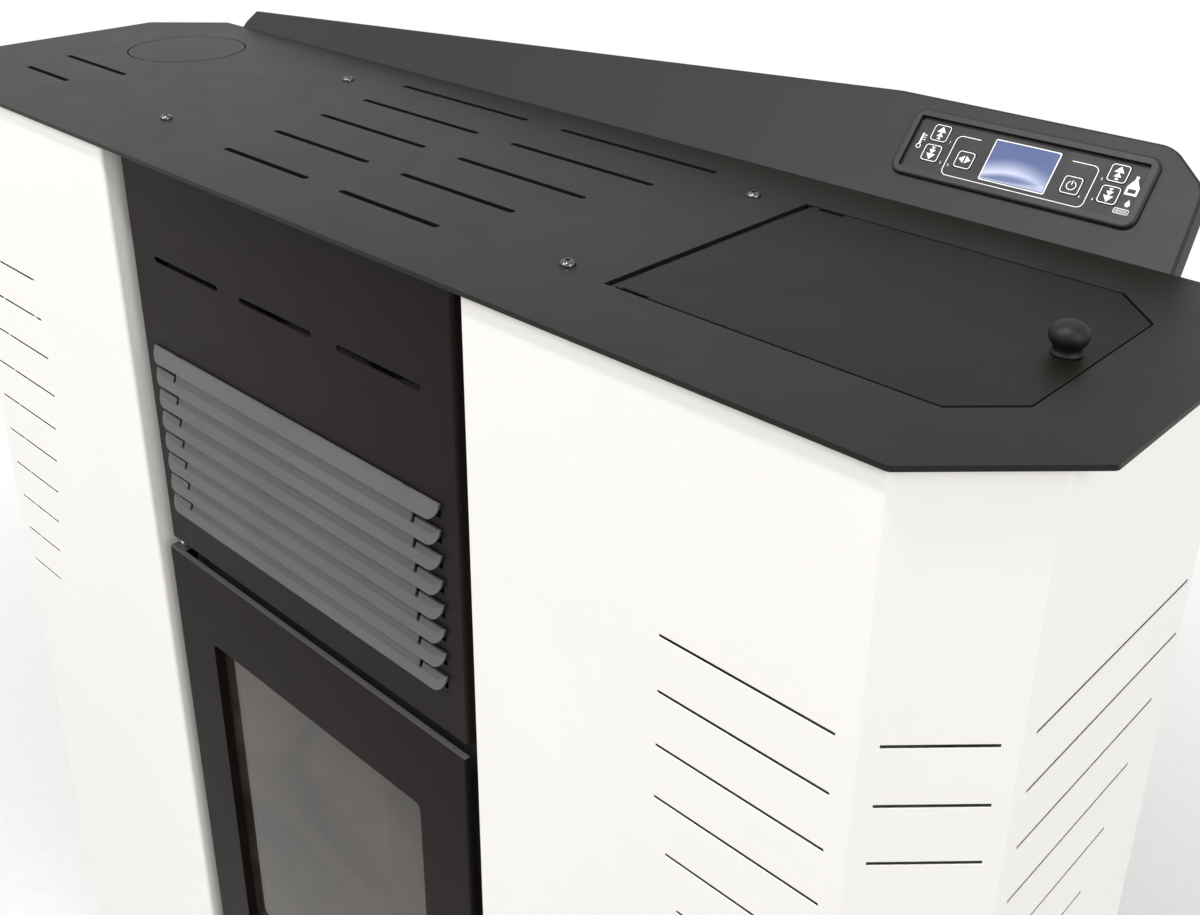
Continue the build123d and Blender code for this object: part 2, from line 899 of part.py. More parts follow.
# ---- Casings, base and rear panel ----
def casing_path():
    side, rear = casing_side, casing_rear
    return [(bay_half, casing_setback + casing_return), (bay_half, casing_setback),
            (side - casing_fold, casing_setback), (side, casing_setback + casing_fold),
            (side, rear - casing_rear_fold), (side - casing_rear_fold, rear),
            (side - casing_rear_fold - casing_rear_flange, rear)]


def slot_height(row):
    middle = cover_height - slot_top_drop - row * slot_pitch
    return (middle - slot_width / 2, middle + slot_width / 2)


def casing_slots():
    cuts = []
    fold_length = casing_fold * 2 ** 0.5 - 2 * fold_slot_margin
    fold_middle = (casing_side - casing_fold / 2, casing_setback + casing_fold / 2)
    for row in range(slot_rows):
        z = slot_height(row)
        length = slot_length - max(0, row - slot_full_rows + 1) * slot_length_step
        cuts.append(block((slot_outer_x - length, slot_outer_x),
                          (casing_setback - 1, casing_setback + casing_sheet + 1), z))
        cuts.append(Pos(fold_middle[0], back(fold_middle[1]), sum(z) / 2) * Rot(0, 0, 45)
                    * Box(fold_length, 4 * casing_sheet, slot_width))
        end = side_slot_first_end - max(0, row - 1) * side_slot_step
        cuts.append(block((casing_side - casing_sheet - 1, casing_side + 1),
                          (side_slot_start, end), z))
    return cuts


def right_side_casing():
    sheet = folded_sheet(casing_path(), casing_sheet, casing_bend, (base_top, cover_under))
    return sheet - casing_slots()


def left_side_casing():
    return mirror(right_side_casing(), about=Plane.YZ)


def base_outline():
    side, rear = casing_side, casing_rear
    right = [(bay_half, base_bay_setback), (bay_half, casing_setback),
             (side - casing_fold, casing_setback), (side, casing_setback + casing_fold),
             (side, rear - casing_rear_fold), (side - casing_rear_fold, rear)]
    return right + [(-x, d) for x, d in reversed(right)]


def base_plate():
    outline = plan_face(base_outline())
    plate = raise_face(outline, (base_height, base_top))
    skirt_z = (base_height - base_skirt_height, base_height)
    outer = offset(outline, amount=-base_skirt_inset, kind=Kind.INTERSECTION)
    inner = offset(outline, amount=-base_skirt_inset - base_sheet, kind=Kind.INTERSECTION)
    plate += raise_face(outer, skirt_z) - raise_face(inner, skirt_z)
    for x in (-foot_x, foot_x):
        for depth in foot_depths:
            plate -= rod(x, depth, base_height, foot_stud_radius + foot_hole_gap, base_sheet)
    return plate


def levelling_feet():
    feet = []
    for x in (-foot_x, foot_x):
        for depth in foot_depths:
            pad = Pos(x, back(depth), 0) * Cone(foot_radius, foot_radius * 0.7, foot_pad, align=(
                Align.CENTER, Align.CENTER, Align.MIN))
            stud = rod(x, depth, foot_pad, foot_stud_radius, base_top + foot_stud_rise - foot_pad)
            nut = Pos(x, back(depth), base_height - foot_nut) * extrude(
                RegularPolygon(foot_nut_radius, 6), amount=foot_nut)
            feet.append(pad + stud + nut)
    return feet


def flue_point():
    return (knock_out_x, flue_z)


def split_plate(x, z, centre, radius):
    """Upper and lower half of a rear plate that closes round a pipe."""
    depth = (casing_rear, cover_depth)
    hole = rod(centre[0], casing_rear, centre[1], radius, rear_sheet, "Y")
    return [block(x, depth, (z[0], centre[1])) - hole, block(x, depth, (centre[1], z[1])) - hole]


def framed_plate(x, z, hole_x, hole_z):
    """Four strips of rear sheet round a square hole."""
    depth = (casing_rear, cover_depth)
    return [block((x[0], hole_x[0]), depth, z), block((hole_x[1], x[1]), depth, z),
            block(hole_x, depth, (z[0], hole_z[0])), block(hole_x, depth, (hole_z[1], z[1]))]


def rear_panel():
    """Rear sheets: split plates round the two pipes, strips round the sockets, vented sheets."""
    depth = (casing_rear, cover_depth)
    flue_hole = flue_radius + flue_hole_gap
    intake_hole = intake_radius + intake_hole_gap
    flue_edge = knock_out_x + flue_hole + rear_plate_margin
    flue_rows = (flue_z - flue_hole - rear_plate_margin, flue_z + flue_hole + rear_plate_margin)
    intake_edges = (intake_x - intake_hole - rear_plate_margin,
                    intake_x + intake_hole + rear_plate_margin)
    intake_rows = (intake_z - intake_hole - rear_plate_margin,
                   intake_z + intake_hole + rear_plate_margin)
    inlet_edges = (inlet_x - inlet_width / 2, inlet_x + inlet_width / 2)
    switch_edges = (switch_x - switch_width / 2, switch_x + switch_width / 2)
    seam = (inlet_edges[1] + switch_edges[0]) / 2
    sockets_z = (base_top, intake_rows[1])

    sheets = [block((-rear_half, flue_edge), depth, (base_top, flue_rows[0])),
              block((-rear_half, flue_edge), depth, (flue_rows[1], cover_under)),
              block(intake_edges, depth, (base_top, intake_rows[0]))]
    sheets += split_plate((-rear_half, flue_edge), flue_rows, (knock_out_x, flue_z), flue_hole)
    sheets += split_plate(intake_edges, intake_rows, (intake_x, intake_z), intake_hole)
    sheets += framed_plate((intake_edges[1], seam), sockets_z, inlet_edges,
                           (inlet_z - inlet_height / 2, inlet_z + inlet_height / 2))
    sheets += framed_plate((seam, rear_half), sockets_z, switch_edges,
                           (inlet_z - switch_height / 2, inlet_z + switch_height / 2))

    vents = []
    for row in range(6):
        z = fan_axis_z - fan_intake[0] + 2.0 + row * 14.0
        vents.append(both_sides(12.0, duct_half - 12.0, depth, (z, z + 4.0)))
    for row in range(5):
        z = cover_height - 130.0 - row * 16.0
        vents.append(both_sides(bay_half + rear_vent_gap,
                                bay_half + rear_vent_gap + rear_vent_length, depth, (z, z + 4.0)))
    middle = block((flue_edge, intake_edges[0]), depth, (base_top, cover_under))
    upper = block((intake_edges[0], rear_half), depth, (intake_rows[1], cover_under))
    return sheets + [middle - vents, upper - vents]


# ---- Console and display ----
console_frame = Plane(origin=(0, back(cover_depth), cover_height), x_dir=(1, 0, 0),
                      z_dir=console_out)


def console_outline():
    lean_top = console_high - console_right_drop
    return [(console_left, 0), (console_right, 0),
            (console_right - console_right_lean, lean_top),
            (console_right - console_right_lean - console_right_cut, console_high),
            (console_rise_end, console_high), (console_left + console_left_cut, console_low),
            (console_left, console_low - 14.0)]


def on_console(x, up, out, width, height, thickness, round_radius=0.0):
    """Rounded plate centred on a point of the console, from out inward by its thickness."""
    shape = Rectangle(width, height)
    if round_radius:
        shape = RectangleRounded(width, height, round_radius)
    return console_frame * Pos(x, up, out - thickness) * extrude(shape, amount=thickness)


def keypad_size():
    inner_width = bezel_width - 2 * bezel_lip + 2 * keypad_border
    inner_height = bezel_height - 2 * bezel_lip + 2 * keypad_border
    return inner_width, inner_height


def console_plate():
    outline = make_face(Polyline(*console_outline(), close=True))
    inner = offset(outline, amount=-console_sheet, kind=Kind.INTERSECTION)
    body = extrude(Pos(0, 0, -console_return) * outline, amount=console_return)
    depth = console_return - console_sheet
    hollow = extrude(Pos(0, 0, -console_return) * inner, amount=depth)
    body -= hollow
    body -= extrude(Pos(0, -2 * console_sheet, -console_return) * inner, amount=depth)
    width, height = keypad_size()
    body -= Pos(display_x, display_up, -console_sheet) * extrude(
        Rectangle(width, height), amount=console_sheet)
    plate = console_frame * body
    skirt = block((console_left, console_right), (cover_depth, cover_depth + console_sheet),
                  (cover_height - console_skirt, cover_height))
    plate -= block((console_left - 1, console_right + 1), (0, cover_depth),
                   (cover_height - 2 * console_skirt, cover_height + console_skirt))
    return plate + skirt


def key_places():
    """Each key's place from the display's middle, along the console and up it."""
    return {"key_left_up": (-key_outer_column, key_upper_row),
            "key_left_down": (-key_outer_column, key_lower_row),
            "key_set": (-key_inner_column, key_inner_row),
            "key_power": (key_inner_column, key_inner_row),
            "key_right_up": (key_outer_column, key_upper_row),
            "key_right_down": (key_outer_column, key_lower_row)}


def display_bezel():
    """Raised frame with the keypad's face sunk inside it."""
    frame = on_console(display_x, display_up, bezel_rise, bezel_width, bezel_height, bezel_rise,
                       bezel_round)
    frame -= on_console(display_x, display_up, bezel_rise, bezel_width - 2 * bezel_lip,
                        bezel_height - 2 * bezel_lip, bezel_rise, bezel_round - bezel_lip / 2)
    width, height = keypad_size()
    panel = on_console(display_x, display_up, 0, width, height, keypad_thickness)
    panel -= on_console(display_x, display_up, 0, lens_width, lens_height, keypad_thickness)
    for x, up in key_places().values():
        hole = key_size + 2 * key_gap
        panel -= on_console(display_x + x, display_up + up, 0, hole, hole, keypad_thickness,
                            key_round + key_gap)
    return frame + panel


def key_cap(x, up):
    cap = on_console(display_x + x, display_up + up, key_rise, key_size, key_size,
                     key_rise + keypad_thickness, key_round)
    flange = key_size + 2 * key_flange_border
    return cap + on_console(display_x + x, display_up + up, -keypad_thickness, flange, flange,
                            key_flange)


def display_lens():
    return on_console(display_x, display_up, 0, lens_width, lens_height, lens_thickness)


def display_board():
    width, height = keypad_size()
    board = on_console(display_x, display_up, -board_drop, width - board_margin,
                       height - board_margin, board_thickness)
    return board + on_console(display_x, display_up, -lens_thickness, lens_width - 1.0,
                              lens_height - 1.0, board_drop - lens_thickness)


# ---- Bay walls, panels, grille ----
def bay_wall():
    """Right-hand wall of the centre bay, folded inward at its front and its rear."""
    z = (base_top, cover_under)
    inner = wall_outer - wall_flange
    wall = block((wall_inner, wall_outer), (wall_front, casing_rear), z)
    wall += block((inner, wall_outer), (wall_front, wall_front + wall_sheet), z)
    wall += block((inner, wall_outer), (casing_rear - wall_sheet, casing_rear), z)
    for depth in screw_depths:
        span = (depth - wall_tab_length / 2, depth + wall_tab_length / 2)
        tab = block((wall_outer, wall_outer + wall_tab), span, (cover_under - wall_sheet, cover_under))
        wall += tab - rod(screw_x, depth, cover_under - wall_sheet, screw_radius, wall_sheet)
    return wall


def right_bay_wall():
    """Wall with openings for the pellet chute and the combustion air box."""
    x = (wall_inner - 1, wall_outer + 1)
    half = chute_width / 2 + wall_gap
    wall = bay_wall()
    wall -= block(x, (auger_depth - half, auger_depth + half),
                  (chute_floor(wall_inner) - wall_gap, chute_roof(wall_outer) + wall_gap))
    return wall - block(x, (air_box_front - wall_gap, air_box_rear + wall_gap),
                        (intake_z - air_box_half - wall_gap, intake_z + air_box_half + wall_gap))


def left_bay_wall():
    wall = mirror(bay_wall(), about=Plane.YZ)
    half = smoke_duct_half + wall_gap
    return wall - block((-wall_outer - 1, -wall_inner + 1),
                        (smoke_axis_depth - half, smoke_axis_depth + half),
                        (smoke_axis_z - half, smoke_axis_z + half))


def panel_tray(z):
    """Front panel folded back at its sides on to the bay walls."""
    points = [(-panel_half, wall_front), (-panel_half, panel_depth), (panel_half, panel_depth),
              (panel_half, wall_front)]
    return folded_sheet(points, panel_sheet, panel_sheet * 2, z)


def blade_top(row):
    return cover_height - grille_top_drop - row * blade_pitch


def grille_bottom():
    return blade_top(blade_count - 1) - blade_height


def upper_front_panel():
    panel = panel_tray((cover_height - panel_bottom_drop, cover_under))
    depth = (panel_depth, panel_depth + panel_sheet)
    middle = cover_height - panel_slot_drop
    slot_z = (middle - panel_slot_width / 2, middle + panel_slot_width / 2)
    for place in (-1, 0, 1):
        x = place * (panel_slot_length + panel_slot_space)
        panel -= block((x - panel_slot_length / 2, x + panel_slot_length / 2), depth, slot_z)
    half = blade_half - grille_slot_edge
    for row in range(blade_count):
        top = blade_top(row)
        panel -= block((-half, half), depth,
                       (top - blade_height + grille_slot_edge, top - grille_slot_edge))
    return panel


def grille_blade(top):
    """One sloping blade with its two lower corners rounded."""
    bottom = top - blade_height
    root = panel_depth - blade_sheet
    lip = root - blade_reach
    profile = [(panel_depth, top), (root, top), (lip, bottom), (lip + blade_sheet, bottom)]
    strip = side_prism(profile, (-blade_half, blade_half))
    shape = block((-blade_half, blade_half), (lip - 1.0, panel_depth + 1.0), (bottom, top))
    corners = shape.edges().filter_by(Axis.Y).sort_by(Axis.Z)[:2]
    return strip & fillet(corners, blade_round)


def louvre_grille():
    """Blades whose wings are cut free outside the notches, tied by two upright strips."""
    depth = (panel_depth - blade_sheet, panel_depth)
    inside = notch_x - notch_width / 2
    strip_z = (blade_top(blade_count - 1), blade_top(0))
    grille = both_sides(inside - grille_strip, inside, depth, strip_z)
    notches = []
    for row in range(blade_count):
        top = blade_top(row)
        grille += grille_blade(top)
        if row:
            grille += block((-inside, inside), depth, (top, top + blade_flange))
            notches.append(both_sides(inside, inside + notch_width, (0, panel_depth),
                                      (top - notch_height, top)))
    return grille - notches


def lower_front_panel():
    return panel_tray((base_top, lower_panel_top))


# ---- Door ----
def bevel_front(solid, depth, size):
    """Bevel the edges that lie in the plane of a depth."""
    edges = solid.edges().filter_by(lambda e: abs(e.center().Y - back(depth)) < 0.01
                                    and abs(e.bounding_box().size.Y) < 0.01)
    return chamfer(edges, size)


def door_frame_piece():
    depth = (door_depth, door_back)
    frame = block((-panel_half, panel_half), depth, (door_bottom, door_top))
    frame = bevel_front(frame, door_depth, door_bevel)
    pane = block((-window_half, window_half), depth, (window_bottom, window_top))
    frame -= fillet(pane.edges().filter_by(Axis.Y), window_round)
    inner = (window_half + seal_ring_gap, window_bottom - seal_ring_gap, window_top + seal_ring_gap)
    outer = (inner[0] + seal_ring_width, inner[1] - seal_ring_width, inner[2] + seal_ring_width)
    frame += window_frame(outer, inner, (door_back, seal_front))
    for low in (door_bottom, door_top - door_boss_height):
        boss = block((door_axis_x - door_boss_half, door_axis_x + door_boss_half),
                     (door_depth + 1.0 + door_bevel, door_axis_depth + door_pin_radius + 2.5),
                     (low, low + door_boss_height))
        frame += boss
        frame -= rod(door_axis_x, door_axis_depth, low, door_pin_radius, door_boss_height)
    return frame - rod(latch_x, door_depth, latch_z, latch_spindle_radius + running_gap,
                       door_frame, "Y")


def door_hinge_pins():
    top = rod(door_axis_x, door_axis_depth, door_top - door_boss_height, door_pin_radius,
              door_pin_length + door_boss_height - 10.0)
    low = rod(door_axis_x, door_axis_depth, door_bottom - door_pin_length + 10.0, door_pin_radius,
              door_pin_length + door_boss_height - 10.0)
    return [top, low]


def door_hinge_brackets():
    plates = []
    top_z = cover_height - panel_bottom_drop
    for z in ((top_z, top_z + hinge_plate), (drawer_top - hinge_plate, drawer_top)):
        plate = block((door_axis_x - 6.0, door_axis_x + 11.0),
                      (panel_depth + drawer_sheet, wall_front), z)
        plates.append(plate - rod(door_axis_x, door_axis_depth, z[0],
                                  door_pin_radius + running_gap, hinge_plate))
    return plates


def door_glass():
    half = window_half + glass_lap
    return block((-half, half), (door_back, door_back + glass_thickness),
                 (window_bottom - glass_lap, window_top + glass_lap))


def glass_clips():
    clips = []
    ring = window_half + seal_ring_gap
    glass = window_half + glass_lap
    glass_back = door_back + glass_thickness
    height = window_top - window_bottom
    for z in (window_bottom + height * 0.2, window_top - height * 0.2):
        span = (z - clip_length / 2, z + clip_length / 2)
        for side in (1, -1):
            pad = sorted((side * (window_half + 1.0), side * ring))
            leg = sorted((side * (glass + 0.3), side * ring))
            clips.append(block(pad, (glass_back, glass_back + clip_sheet), span)
                         + block(leg, (door_back, glass_back), span)
                         + rod(side * (ring - 2.5), glass_back + clip_sheet, z, 2.0, 1.4, "Y"))
    for z, edge in ((window_bottom, -1), (window_top, 1)):
        pad = sorted((z + edge * 1.0, z + edge * seal_ring_gap))
        leg = sorted((z + edge * (glass_lap + 0.3), z + edge * seal_ring_gap))
        clips.append(block((-clip_length / 2, clip_length / 2),
                           (glass_back, glass_back + clip_sheet), pad)
                     + block((-clip_length / 2, clip_length / 2), (door_back, glass_back), leg))
    return clips


def door_seal():
    inset = 1.0
    inner = (window_half + seal_ring_gap + inset, window_bottom - seal_ring_gap - inset,
             window_top + seal_ring_gap + inset)
    width = seal_ring_width - 2 * inset
    outer = (inner[0] + width, inner[1] - width, inner[2] + width)
    return window_frame(outer, inner, (seal_front, seal_face))


def latch_hook_depth():
    start = door_back + keeper_gap + keeper_sheet + keeper_gap
    return (start, start + latch_hook_sheet)


def latch_spindle():
    """Spindle through the door with its hook hanging down, clear of the keeper."""
    hook = latch_hook_depth()
    spindle = rod(latch_x, door_depth - latch_neck - 4.0, latch_z, latch_spindle_radius,
                  hook[1] - door_depth + latch_neck + 4.0, "Y")
    half = latch_hook_half
    arm = block((latch_x - half, latch_x + half), hook, (latch_z - latch_hook_reach, latch_z + half))
    return spindle + arm


def latch_knob():
    body = Pos(latch_x, back(door_depth), latch_z) * Rot(90, 0, 0) * knob(
        latch_knob_radius, latch_neck + latch_knob_height, latch_spindle_radius + 4.0, latch_neck)
    return body - rod(latch_x, door_depth - latch_neck - 4.0, latch_z, latch_spindle_radius,
                      latch_neck + 4.0, "Y")


def latch_keeper():
    """Tongue that the hook turns in behind, on a leg from the firebox's front."""
    depth = (door_back + keeper_gap, door_back + keeper_gap + keeper_sheet)
    z = (latch_z - keeper_height / 2, latch_z + keeper_height / 2)
    tongue = block((keeper_x, firebox_front_half), depth, z)
    return tongue + block((firebox_front_half - 4.0, firebox_front_half), (depth[0], seal_face), z)


# ---- Ash drawer ----
def drawer_front():
    front = block((-panel_half, panel_half), (door_depth, door_depth + drawer_sheet),
                  (drawer_bottom, drawer_top))
    front = bevel_front(front, door_depth, drawer_sheet / 3)
    half = drawer_grip_width / 2
    return front - block((-half, half), (door_depth, door_depth + drawer_sheet),
                         (drawer_top - drawer_grip_height, drawer_top))


def ash_pan():
    start = door_depth + drawer_sheet
    depth = (start, start + drawer_pan_depth)
    half, wall = drawer_pan_half, drawer_pan_wall
    top = pan_bottom + drawer_pan_height
    pan = block((-half, half), depth, (pan_bottom, top))
    pan -= block((-half + wall, half - wall), (depth[0] + wall, depth[1] - wall),
                 (pan_bottom + wall, top))
    grip = drawer_grip_width / 2
    return pan - block((-grip, grip), (depth[0], depth[0] + wall), (drawer_top - drawer_grip_height, top))


def drawer_runners():
    z = pan_bottom - runner_gap
    depth = (wall_front + wall_sheet, wall_front + wall_sheet + runner_length)
    rails = both_sides(drawer_pan_half - runner_lap, wall_inner, depth, (z - runner_sheet, z))
    rails += both_sides(wall_inner - runner_sheet, wall_inner, depth, (z, z + runner_leg))
    return rails.solids()


# ---- Firebox and burner ----
def firebox():
    half, plate = firebox_half, firebox_plate
    body = block((-half, half), (wall_front, firebox_rear), (firebox_floor, firebox_top))
    body -= block((-half + plate, half - plate), (wall_front, firebox_back_inner),
                  (floor_top, firebox_top - plate))
    land = seal_land
    mouth = (window_half + land, window_bottom - land, window_top + land)
    face = (firebox_front_half, door_bottom + 1.0, door_top)
    body += window_frame(face, mouth, (seal_face, wall_front))
    body -= block((-ash_slot_half, ash_slot_half), ash_slot, (firebox_floor, floor_top))
    smoke_top = (-half + 20.0, half - 20.0)
    body -= block(smoke_top, (exchanger_front + 20.0, firebox_back_inner - 10.0),
                  (firebox_top - plate, firebox_top))
    side = smoke_duct_half - smoke_wall
    body -= block((-half, -half + plate), (smoke_axis_depth - side, smoke_axis_depth + side),
                  (smoke_axis_z - side, smoke_axis_z + side))
    body -= rod(half - plate, igniter_depth, igniter_z, air_passage_radius - air_passage_wall,
                plate, "X")
    chute_half = chute_width / 2
    body -= block((half - plate, half), (auger_depth - chute_half, auger_depth + chute_half),
                  chute_crossing())
    return body + latch_keeper()


def chute_crossing():
    """Height range in which the chute passes the firebox's side wall and its lining."""
    inside = firebox_half - firebox_plate - lining_thickness
    return (chute_floor(inside) - 1.0, chute_roof(firebox_half) + 1.0)


def rear_lining():
    """Ribbed cast plate in front of the firebox's back."""
    half = firebox_half - firebox_plate - lining_gap
    z = (floor_top, firebox_top - firebox_plate - 14.0)
    depth = (firebox_back_inner - lining_thickness, firebox_back_inner)
    lining = block((-half, half), depth, z)
    count = int((half - 10.0) // lining_rib_pitch)
    for i in range(-count, count + 1):
        x = i * lining_rib_pitch
        lining += block((x - 4.0, x + 4.0), (depth[0] - lining_rib, depth[0]),
                        (z[0] + 20.0, z[1] - 20.0))
    return lining


def side_lining_span():
    return (wall_front + 6.0, lining_face)


def firebox_linings():
    outer = firebox_half - firebox_plate
    z = (floor_top, floor_top + side_lining_height)
    right = block((outer - lining_thickness, outer), side_lining_span(), z)
    half = chute_width / 2
    right -= block((outer - lining_thickness, outer), (auger_depth - half, auger_depth + half),
                   chute_crossing())
    right -= rod(outer - lining_thickness, igniter_depth, igniter_z, air_passage_radius,
                 lining_thickness, "X")
    left = block((-outer, -outer + lining_thickness), side_lining_span(), z)
    side = smoke_duct_half - smoke_wall
    left -= block((-outer, -outer + lining_thickness),
                  (smoke_axis_depth - side, smoke_axis_depth + side),
                  (smoke_axis_z - side, smoke_axis_z + side))
    return [left, right, rear_lining()]


def baffle():
    half = firebox_half - firebox_plate
    z = floor_top + side_lining_height
    return block((-half, half), (baffle_front, side_lining_span()[1]), (z, z + baffle_thickness))


def pot_span():
    return (pot_front, pot_rear)


def burn_pot_seat():
    depth = (seat_front, seat_rear)
    wall = seat_wall
    seat = block((-seat_half, seat_half), depth, (floor_top, seat_top))
    seat -= block((-seat_half + wall, seat_half - wall), (depth[0] + wall, depth[1] - wall),
                  (floor_top, seat_top - wall))
    hole = pot_half + pot_gap
    seat -= block((-hole, hole), (pot_front - pot_gap, pot_rear + pot_gap),
                  (seat_top - wall, seat_top))
    reach = firebox_half - firebox_plate - seat_half
    seat += rod(seat_half, igniter_depth, igniter_z, air_passage_radius, reach, "X")
    seat -= rod(seat_half - wall, igniter_depth, igniter_z, air_passage_radius - air_passage_wall,
                reach + wall, "X")
    return seat


def burn_pot():
    bottom, top = seat_top - pot_drop, seat_top + pot_rise
    wall = pot_wall
    pot = block((-pot_half, pot_half), pot_span(), (bottom, top))
    pot += block((-pot_half - pot_flange, pot_half + pot_flange),
                 (pot_front - pot_flange, pot_rear + pot_flange),
                 (seat_top, seat_top + pot_flange_thickness))
    inside = pot_half - wall
    pot -= block((-inside, inside), (pot_front + wall, pot_rear - wall), (bottom + wall, top))
    middle = (pot_front + pot_rear) / 2
    holes = []
    for i in range(pot_holes):
        for j in range(pot_holes):
            x = (i - (pot_holes - 1) / 2) * pot_hole_pitch
            d = middle + (j - (pot_holes - 1) / 2) * pot_hole_pitch
            holes.append(rod(x, d, bottom, pot_hole_radius, wall))
    for i in range(pot_holes):
        x = (i - (pot_holes - 1) / 2) * pot_hole_pitch
        holes.append(rod(x, pot_front, top - 16.0, pot_hole_radius, pot_rear - pot_front, "Y"))
    return pot - holes


def igniter():
    length = air_box_right - igniter_reach
    return rod(igniter_reach, igniter_depth, igniter_z, igniter_radius, length, "X")


def combustion_air_box():
    x = (firebox_half, air_box_right)
    depth = (air_box_front, air_box_rear)
    z = (intake_z - air_box_half, intake_z + air_box_half)
    wall = air_box_wall
    box = block(x, depth, z)
    box -= block((x[0], x[1] - wall), (depth[0] + wall, depth[1] - wall), (z[0] + wall, z[1] - wall))
    length = cover_depth + intake_stub - air_box_rear
    box += rod(intake_x, air_box_rear, intake_z, intake_radius, length, "Y")
    box += rod(intake_x, cover_depth, intake_z, intake_radius + collar_rise, collar_width, "Y")
    box -= rod(intake_x, air_box_rear - wall, intake_z, intake_radius - intake_wall, length + wall, "Y")
    return box - rod(air_box_right - wall, igniter_depth, igniter_z, igniter_radius, wall, "X")


# ---- Hot air ----
def heat_exchanger():
    half, plate = firebox_half, firebox_plate
    depth = (exchanger_front, firebox_rear)
    z = (firebox_top, exchanger_top)
    box = block((-half, half), depth, z)
    box -= block((-half + plate, half - plate), (depth[0] + plate, depth[1] - plate),
                 (z[0], z[1] - plate))
    bores = []
    for row in exchanger_rows:
        for i in range(exchanger_columns):
            x = (i - (exchanger_columns - 1) / 2) * exchanger_column_pitch
            box += rod(x, depth[0], row, exchanger_tube_radius, depth[1] - depth[0], "Y")
            bores.append(rod(x, depth[0], row, exchanger_tube_radius - exchanger_tube_wall,
                             depth[1] - depth[0], "Y"))
    return box - bores + hot_air_hood()


def hot_air_hood():
    top = cover_height - grille_top_drop + hood_margin
    bottom = grille_bottom() - hood_margin
    half = notch_x + hood_margin + 4.0
    outer = (half, bottom, top)
    inner = (half - hood_wall, bottom + hood_wall, top - hood_wall)
    return window_frame(outer, inner, (panel_depth + panel_sheet, exchanger_front))


def rear_air_duct():
    half, wall = duct_half, duct_wall
    z = (duct_bottom, exchanger_top)
    depth = (firebox_rear, casing_rear - wall_sheet)
    duct = block((-half, half), depth, z)
    duct -= block((-half + wall, half - wall), (depth[0] + wall, depth[1] - wall),
                  (z[0], z[1] - wall))
    return duct - block((-half + wall, half - wall), (depth[0], depth[0] + wall),
                        (floor_top, z[1] - wall))


def room_air_duct():
    half, wall = duct_half, duct_wall
    depth = (fan_box_front, casing_rear - wall_sheet)
    z = (base_top, duct_bottom)
    box = block((-half, half), depth, z)
    box -= block((-half + wall, half - wall), (depth[0] + wall, depth[1] - wall),
                 (z[0] + wall, z[1]))
    mouth = (fan_mouth_inset - half, half - fan_mouth_inset)
    below, above = fan_intake
    box -= block(mouth, (depth[0], depth[0] + wall),
                 (fan_axis_z - fan_mouth_half, fan_axis_z + fan_mouth_half))
    box -= block(mouth, (depth[1] - wall, depth[1]), (fan_axis_z - below, fan_axis_z + above))
    shelf_z = (z[1] - wall, z[1])
    box += block((-half, half), (depth[0], firebox_rear + wall), shelf_z)
    box -= rod(-half, fan_axis_depth, fan_axis_z, fan_shaft_radius + running_gap, 2 * half, "X")
    return box + rear_air_duct()


def room_fan_rotor():
    start = -fan_length / 2
    shaft_end = duct_half + 12.0
    rotor = rod(-duct_half, fan_axis_depth, fan_axis_z, fan_shaft_radius, duct_half + shaft_end, "X")
    for x in (start, -fan_disc / 2, fan_length / 2 - fan_disc):
        rotor += rod(x, fan_axis_depth, fan_axis_z, fan_radius, fan_disc, "X")
    blade = Box(fan_length, fan_blade_sheet, fan_blade_width)
    for i in range(fan_blades):
        turn = Rot(i * 360 / fan_blades, 0, 0)
        place = Pos(0, 0, fan_radius - fan_blade_width / 2 - 0.5) * Rot(25, 0, 0)
        rotor += Pos(0, back(fan_axis_depth), fan_axis_z) * turn * place * blade
    return rotor


def room_fan_motor():
    motor = rod(duct_half, fan_axis_depth, fan_axis_z, fan_motor_radius, fan_motor_length, "X")
    return motor - rod(duct_half, fan_axis_depth, fan_axis_z, fan_shaft_radius + running_gap,
                       14.0, "X")


# ---- Smoke extractor and flue ----
def smoke_duct():
    half, wall = smoke_duct_half, smoke_wall
    x = (smoke_right, -firebox_half)
    d, z = smoke_axis_depth, smoke_axis_z
    duct = block(x, (d - half, d + half), (z - half, z + half))
    return duct - block(x, (d - half + wall, d + half - wall), (z - half + wall, z + half - wall))


def smoke_housing():
    d, z, wall = smoke_axis_depth, smoke_axis_z, smoke_wall
    riser = (smoke_riser_front, smoke_riser_rear)
    riser_top = flue_z - flue_radius
    x = (smoke_left, smoke_right)
    body = rod(smoke_left, d, z, smoke_radius, smoke_width, "X") + block(x, riser, (z, riser_top))
    inside = (x[0] + wall, x[1] - wall)
    body -= rod(inside[0], d, z, smoke_radius - wall, inside[1] - inside[0], "X")
    body -= block(inside, (riser[0] + wall, riser[1] - wall), (z, riser_top))
    body -= rod(inside[1], d, z, smoke_inlet_radius, wall, "X")
    body -= rod(x[0], d, z, impeller_shaft_radius + running_gap, wall, "X")
    return body + smoke_duct()


